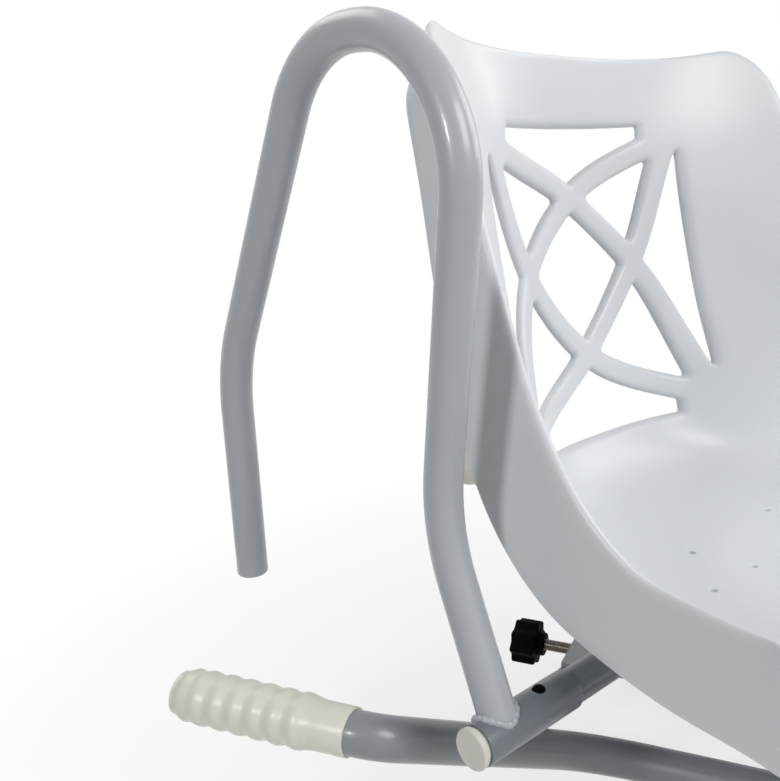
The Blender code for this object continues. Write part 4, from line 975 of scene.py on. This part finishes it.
class BATHSEAT_OT_buttons(bpy.types.Operator):
    """Build the domed spring buttons and the carrier's end cap"""
    bl_idname = "bath_seat.buttons"
    bl_label = "Buttons and cap"

    def execute(self, context):
        radius = 0.00425
        for name, x in (("left", -BUTTON_X), ("right", BUTTON_X)):
            low, top = (corner[2] - CARRIER_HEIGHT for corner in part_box(f"snap_button_{name}"))
            shoulder = top - 0.0030
            profile = [(0.0, low), (0.0052, low), (0.0054, low + 0.0003), (0.0054, low + 0.0012),
                       (radius, low + 0.0014), (radius, shoulder)]
            # The dome is flatter than a ball
            profile += [(r, shoulder + (h - shoulder) * 0.70)
                        for r, h in arc_profile((0.0, shoulder), radius, 8.0, 90.0, 9)[:-1]]
            profile.append((0.0, top - 0.0001))
            turned(profile, (0, 0, 1), (x, 0, CARRIER_HEIGHT), 40, f"spring_button_{name}", f"snap_{name}",
                   "black_plastic", [f"snap_button_{name}"])
        profile = [(0.0, -0.0115), (0.0094, -0.0115), (0.0102, -0.0106), (0.0102, 0.0003), (0.0123, 0.0004),
                   *arc_profile((0.0113, 0.0028), 0.0011, 0.0, 90.0, 6), (0.0088, 0.0040), (0.0, 0.0038)]
        turned(profile, (1, 0, 0), (CARRIER_END, 0, CARRIER_HEIGHT), 64, "carrier_end_cap", "seat", "ivory_plastic",
               ["carrier_cap"])
        return {"FINISHED"}


class BATHSEAT_OT_metalwork(bpy.types.Operator):
    """Give the frame's own nodes that stay in view their finishes"""
    bl_idname = "bath_seat.metalwork"
    bl_label = "Finishes of the metalwork"

    def execute(self, context):
        slots = {part["node"]: part["material_slot"] for part in frame["record"]["subparts"]}
        for node, piece in frame["nodes"].items():
            # The carrier tube takes the sleeve's darker finish, painted shade for the shadow under the seat
            material = finish_for("sleeve" if node == "carrier_tube" else slots[node])
            for slot in piece.material_slots:
                slot.material = material
        return {"FINISHED"}


# ---- stage


class BATHSEAT_OT_stage(bpy.types.Operator):
    """Make the floor, the light and the camera"""
    bl_idname = "bath_seat.stage"
    bl_label = "Stage"

    def execute(self, context):
        scene = context.scene
        self.floor(CAD_BOX[0][2])
        self.world(scene)
        for name, place, aim, size, power in LAMPS:
            light = bpy.data.lights.new(name, "AREA")
            light.shape = "RECTANGLE"
            light.size, light.size_y = size
            light.energy = power
            lamp = in_scene(name, light)
            lamp.location = place
            lamp.rotation_euler = (Vector(aim) - Vector(place)).to_track_quat("-Z", "Y").to_euler()
        lens = bpy.data.cameras.new("photo_camera")
        lens.sensor_fit = "HORIZONTAL"
        lens.sensor_width = SENSOR
        lens.lens = PHOTO_FOCAL / PHOTO_WIDTH * SENSOR
        lens.shift_x, lens.shift_y = PHOTO_SHIFT
        lens.clip_start = 0.02
        camera = in_scene("photo_camera", lens)
        camera.location = PHOTO_PLACE
        camera.rotation_euler = [math.radians(angle) for angle in PHOTO_ANGLES]
        scene.camera = camera
        scene.view_settings.view_transform = "Standard"
        return {"FINISHED"}

    @staticmethod
    def floor(height):
        shape = bmesh.new()
        bmesh.ops.create_circle(shape, cap_ends=True, radius=FLOOR_RADIUS, segments=64,
                                matrix=Matrix.Translation((0.0, 0.0, height - FLOOR_GAP)))
        floor = new_object("pale_floor", shape)
        material = bpy.data.materials.new("pale_floor")
        material.use_nodes = True
        tree = material.node_tree
        place = add(tree, "TexCoord", out="Object")
        noise = add(tree, "TexNoise", {"Vector": place, "Scale": 30.0})
        tone = add(tree, "Mix", {0: noise, MIX_A: (0.86, 0.86, 0.865, 1.0), MIX_B: (0.90, 0.90, 0.90, 1.0)},
                   MIX_RESULT, data_type="RGBA")
        shader = tree.nodes["Principled BSDF"]
        join(tree, shader.inputs, {"Base Color": tone, "Roughness": 0.9, "Specular IOR Level": 0.1})
        # Away from the object the floor shows plain white, and near it keeps the shadow
        reach = add(tree, "VectorMath", {0: place}, "Value", operation="LENGTH")
        fade = add(tree, "MapRange", {"Value": reach, "From Min": FADE_NEAR, "From Max": FADE_FAR,
                                      "To Min": FADE_LEAST})
        seen = add(tree, "Math", {0: fade, 1: background_rays(tree)}, operation="MULTIPLY")
        mix = add(tree, "MixShader", {"Fac": seen, 1: shader.outputs["BSDF"], 2: add(tree, "Emission")})
        join(tree, tree.nodes["Material Output"].inputs, {"Surface": mix})
        floor.data.materials.append(material)

    @staticmethod
    def world(scene):
        scene.world = bpy.data.worlds.new("soft_room")
        scene.world.use_nodes = True
        tree = scene.world.node_tree
        soft = tree.nodes["Background"]
        join(tree, soft.inputs, {"Color": (0.97, 0.98, 1.0, 1.0), "Strength": 0.11})
        white = add(tree, "Background", {"Color": (1.0, 1.0, 1.0, 1.0), "Strength": 1.0})
        mix = add(tree, "MixShader", {"Fac": background_rays(tree), 1: soft.outputs["Background"], 2: white})
        join(tree, tree.nodes["World Output"].inputs, {"Surface": mix})


class BATHSEAT_PT_panel(bpy.types.Panel):
    """Lists the pieces of the bath seat"""
    bl_idname = "BATHSEAT_PT_panel"
    bl_label = "Swivel bath seat"
    bl_space_type = "VIEW_3D"
    bl_region_type = "UI"
    bl_category = "Bath seat"

    def draw(self, context):
        for group in (context.scene.bath_seat_shell, context.scene.bath_seat_finish):
            for name in group.bl_rna.properties.keys():
                if name not in ("rna_type", "name"):
                    self.layout.prop(group, name)
        for operator in STEPS:
            self.layout.operator(operator.bl_idname)


STEPS = (BATHSEAT_OT_metalwork, BATHSEAT_OT_shell, BATHSEAT_OT_armrest, BATHSEAT_OT_base_tubes, BATHSEAT_OT_grips,
         BATHSEAT_OT_lock, BATHSEAT_OT_buttons, BATHSEAT_OT_stage)
CLASSES = (BathSeatShell, BathSeatFinish, *STEPS, BATHSEAT_PT_panel)


def register():
    for cls in CLASSES:
        bpy.utils.register_class(cls)
    bpy.types.Scene.bath_seat_shell = bpy.props.PointerProperty(type=BathSeatShell)
    bpy.types.Scene.bath_seat_finish = bpy.props.PointerProperty(type=BathSeatFinish)


def unregister():
    del bpy.types.Scene.bath_seat_finish
    del bpy.types.Scene.bath_seat_shell
    for cls in reversed(CLASSES):
        bpy.utils.unregister_class(cls)


def main():
    register()
    for operator in STEPS:
        group, name = operator.bl_idname.split(".")
        getattr(getattr(bpy.ops, group), name)()


if __name__ == "__main__":
    main()
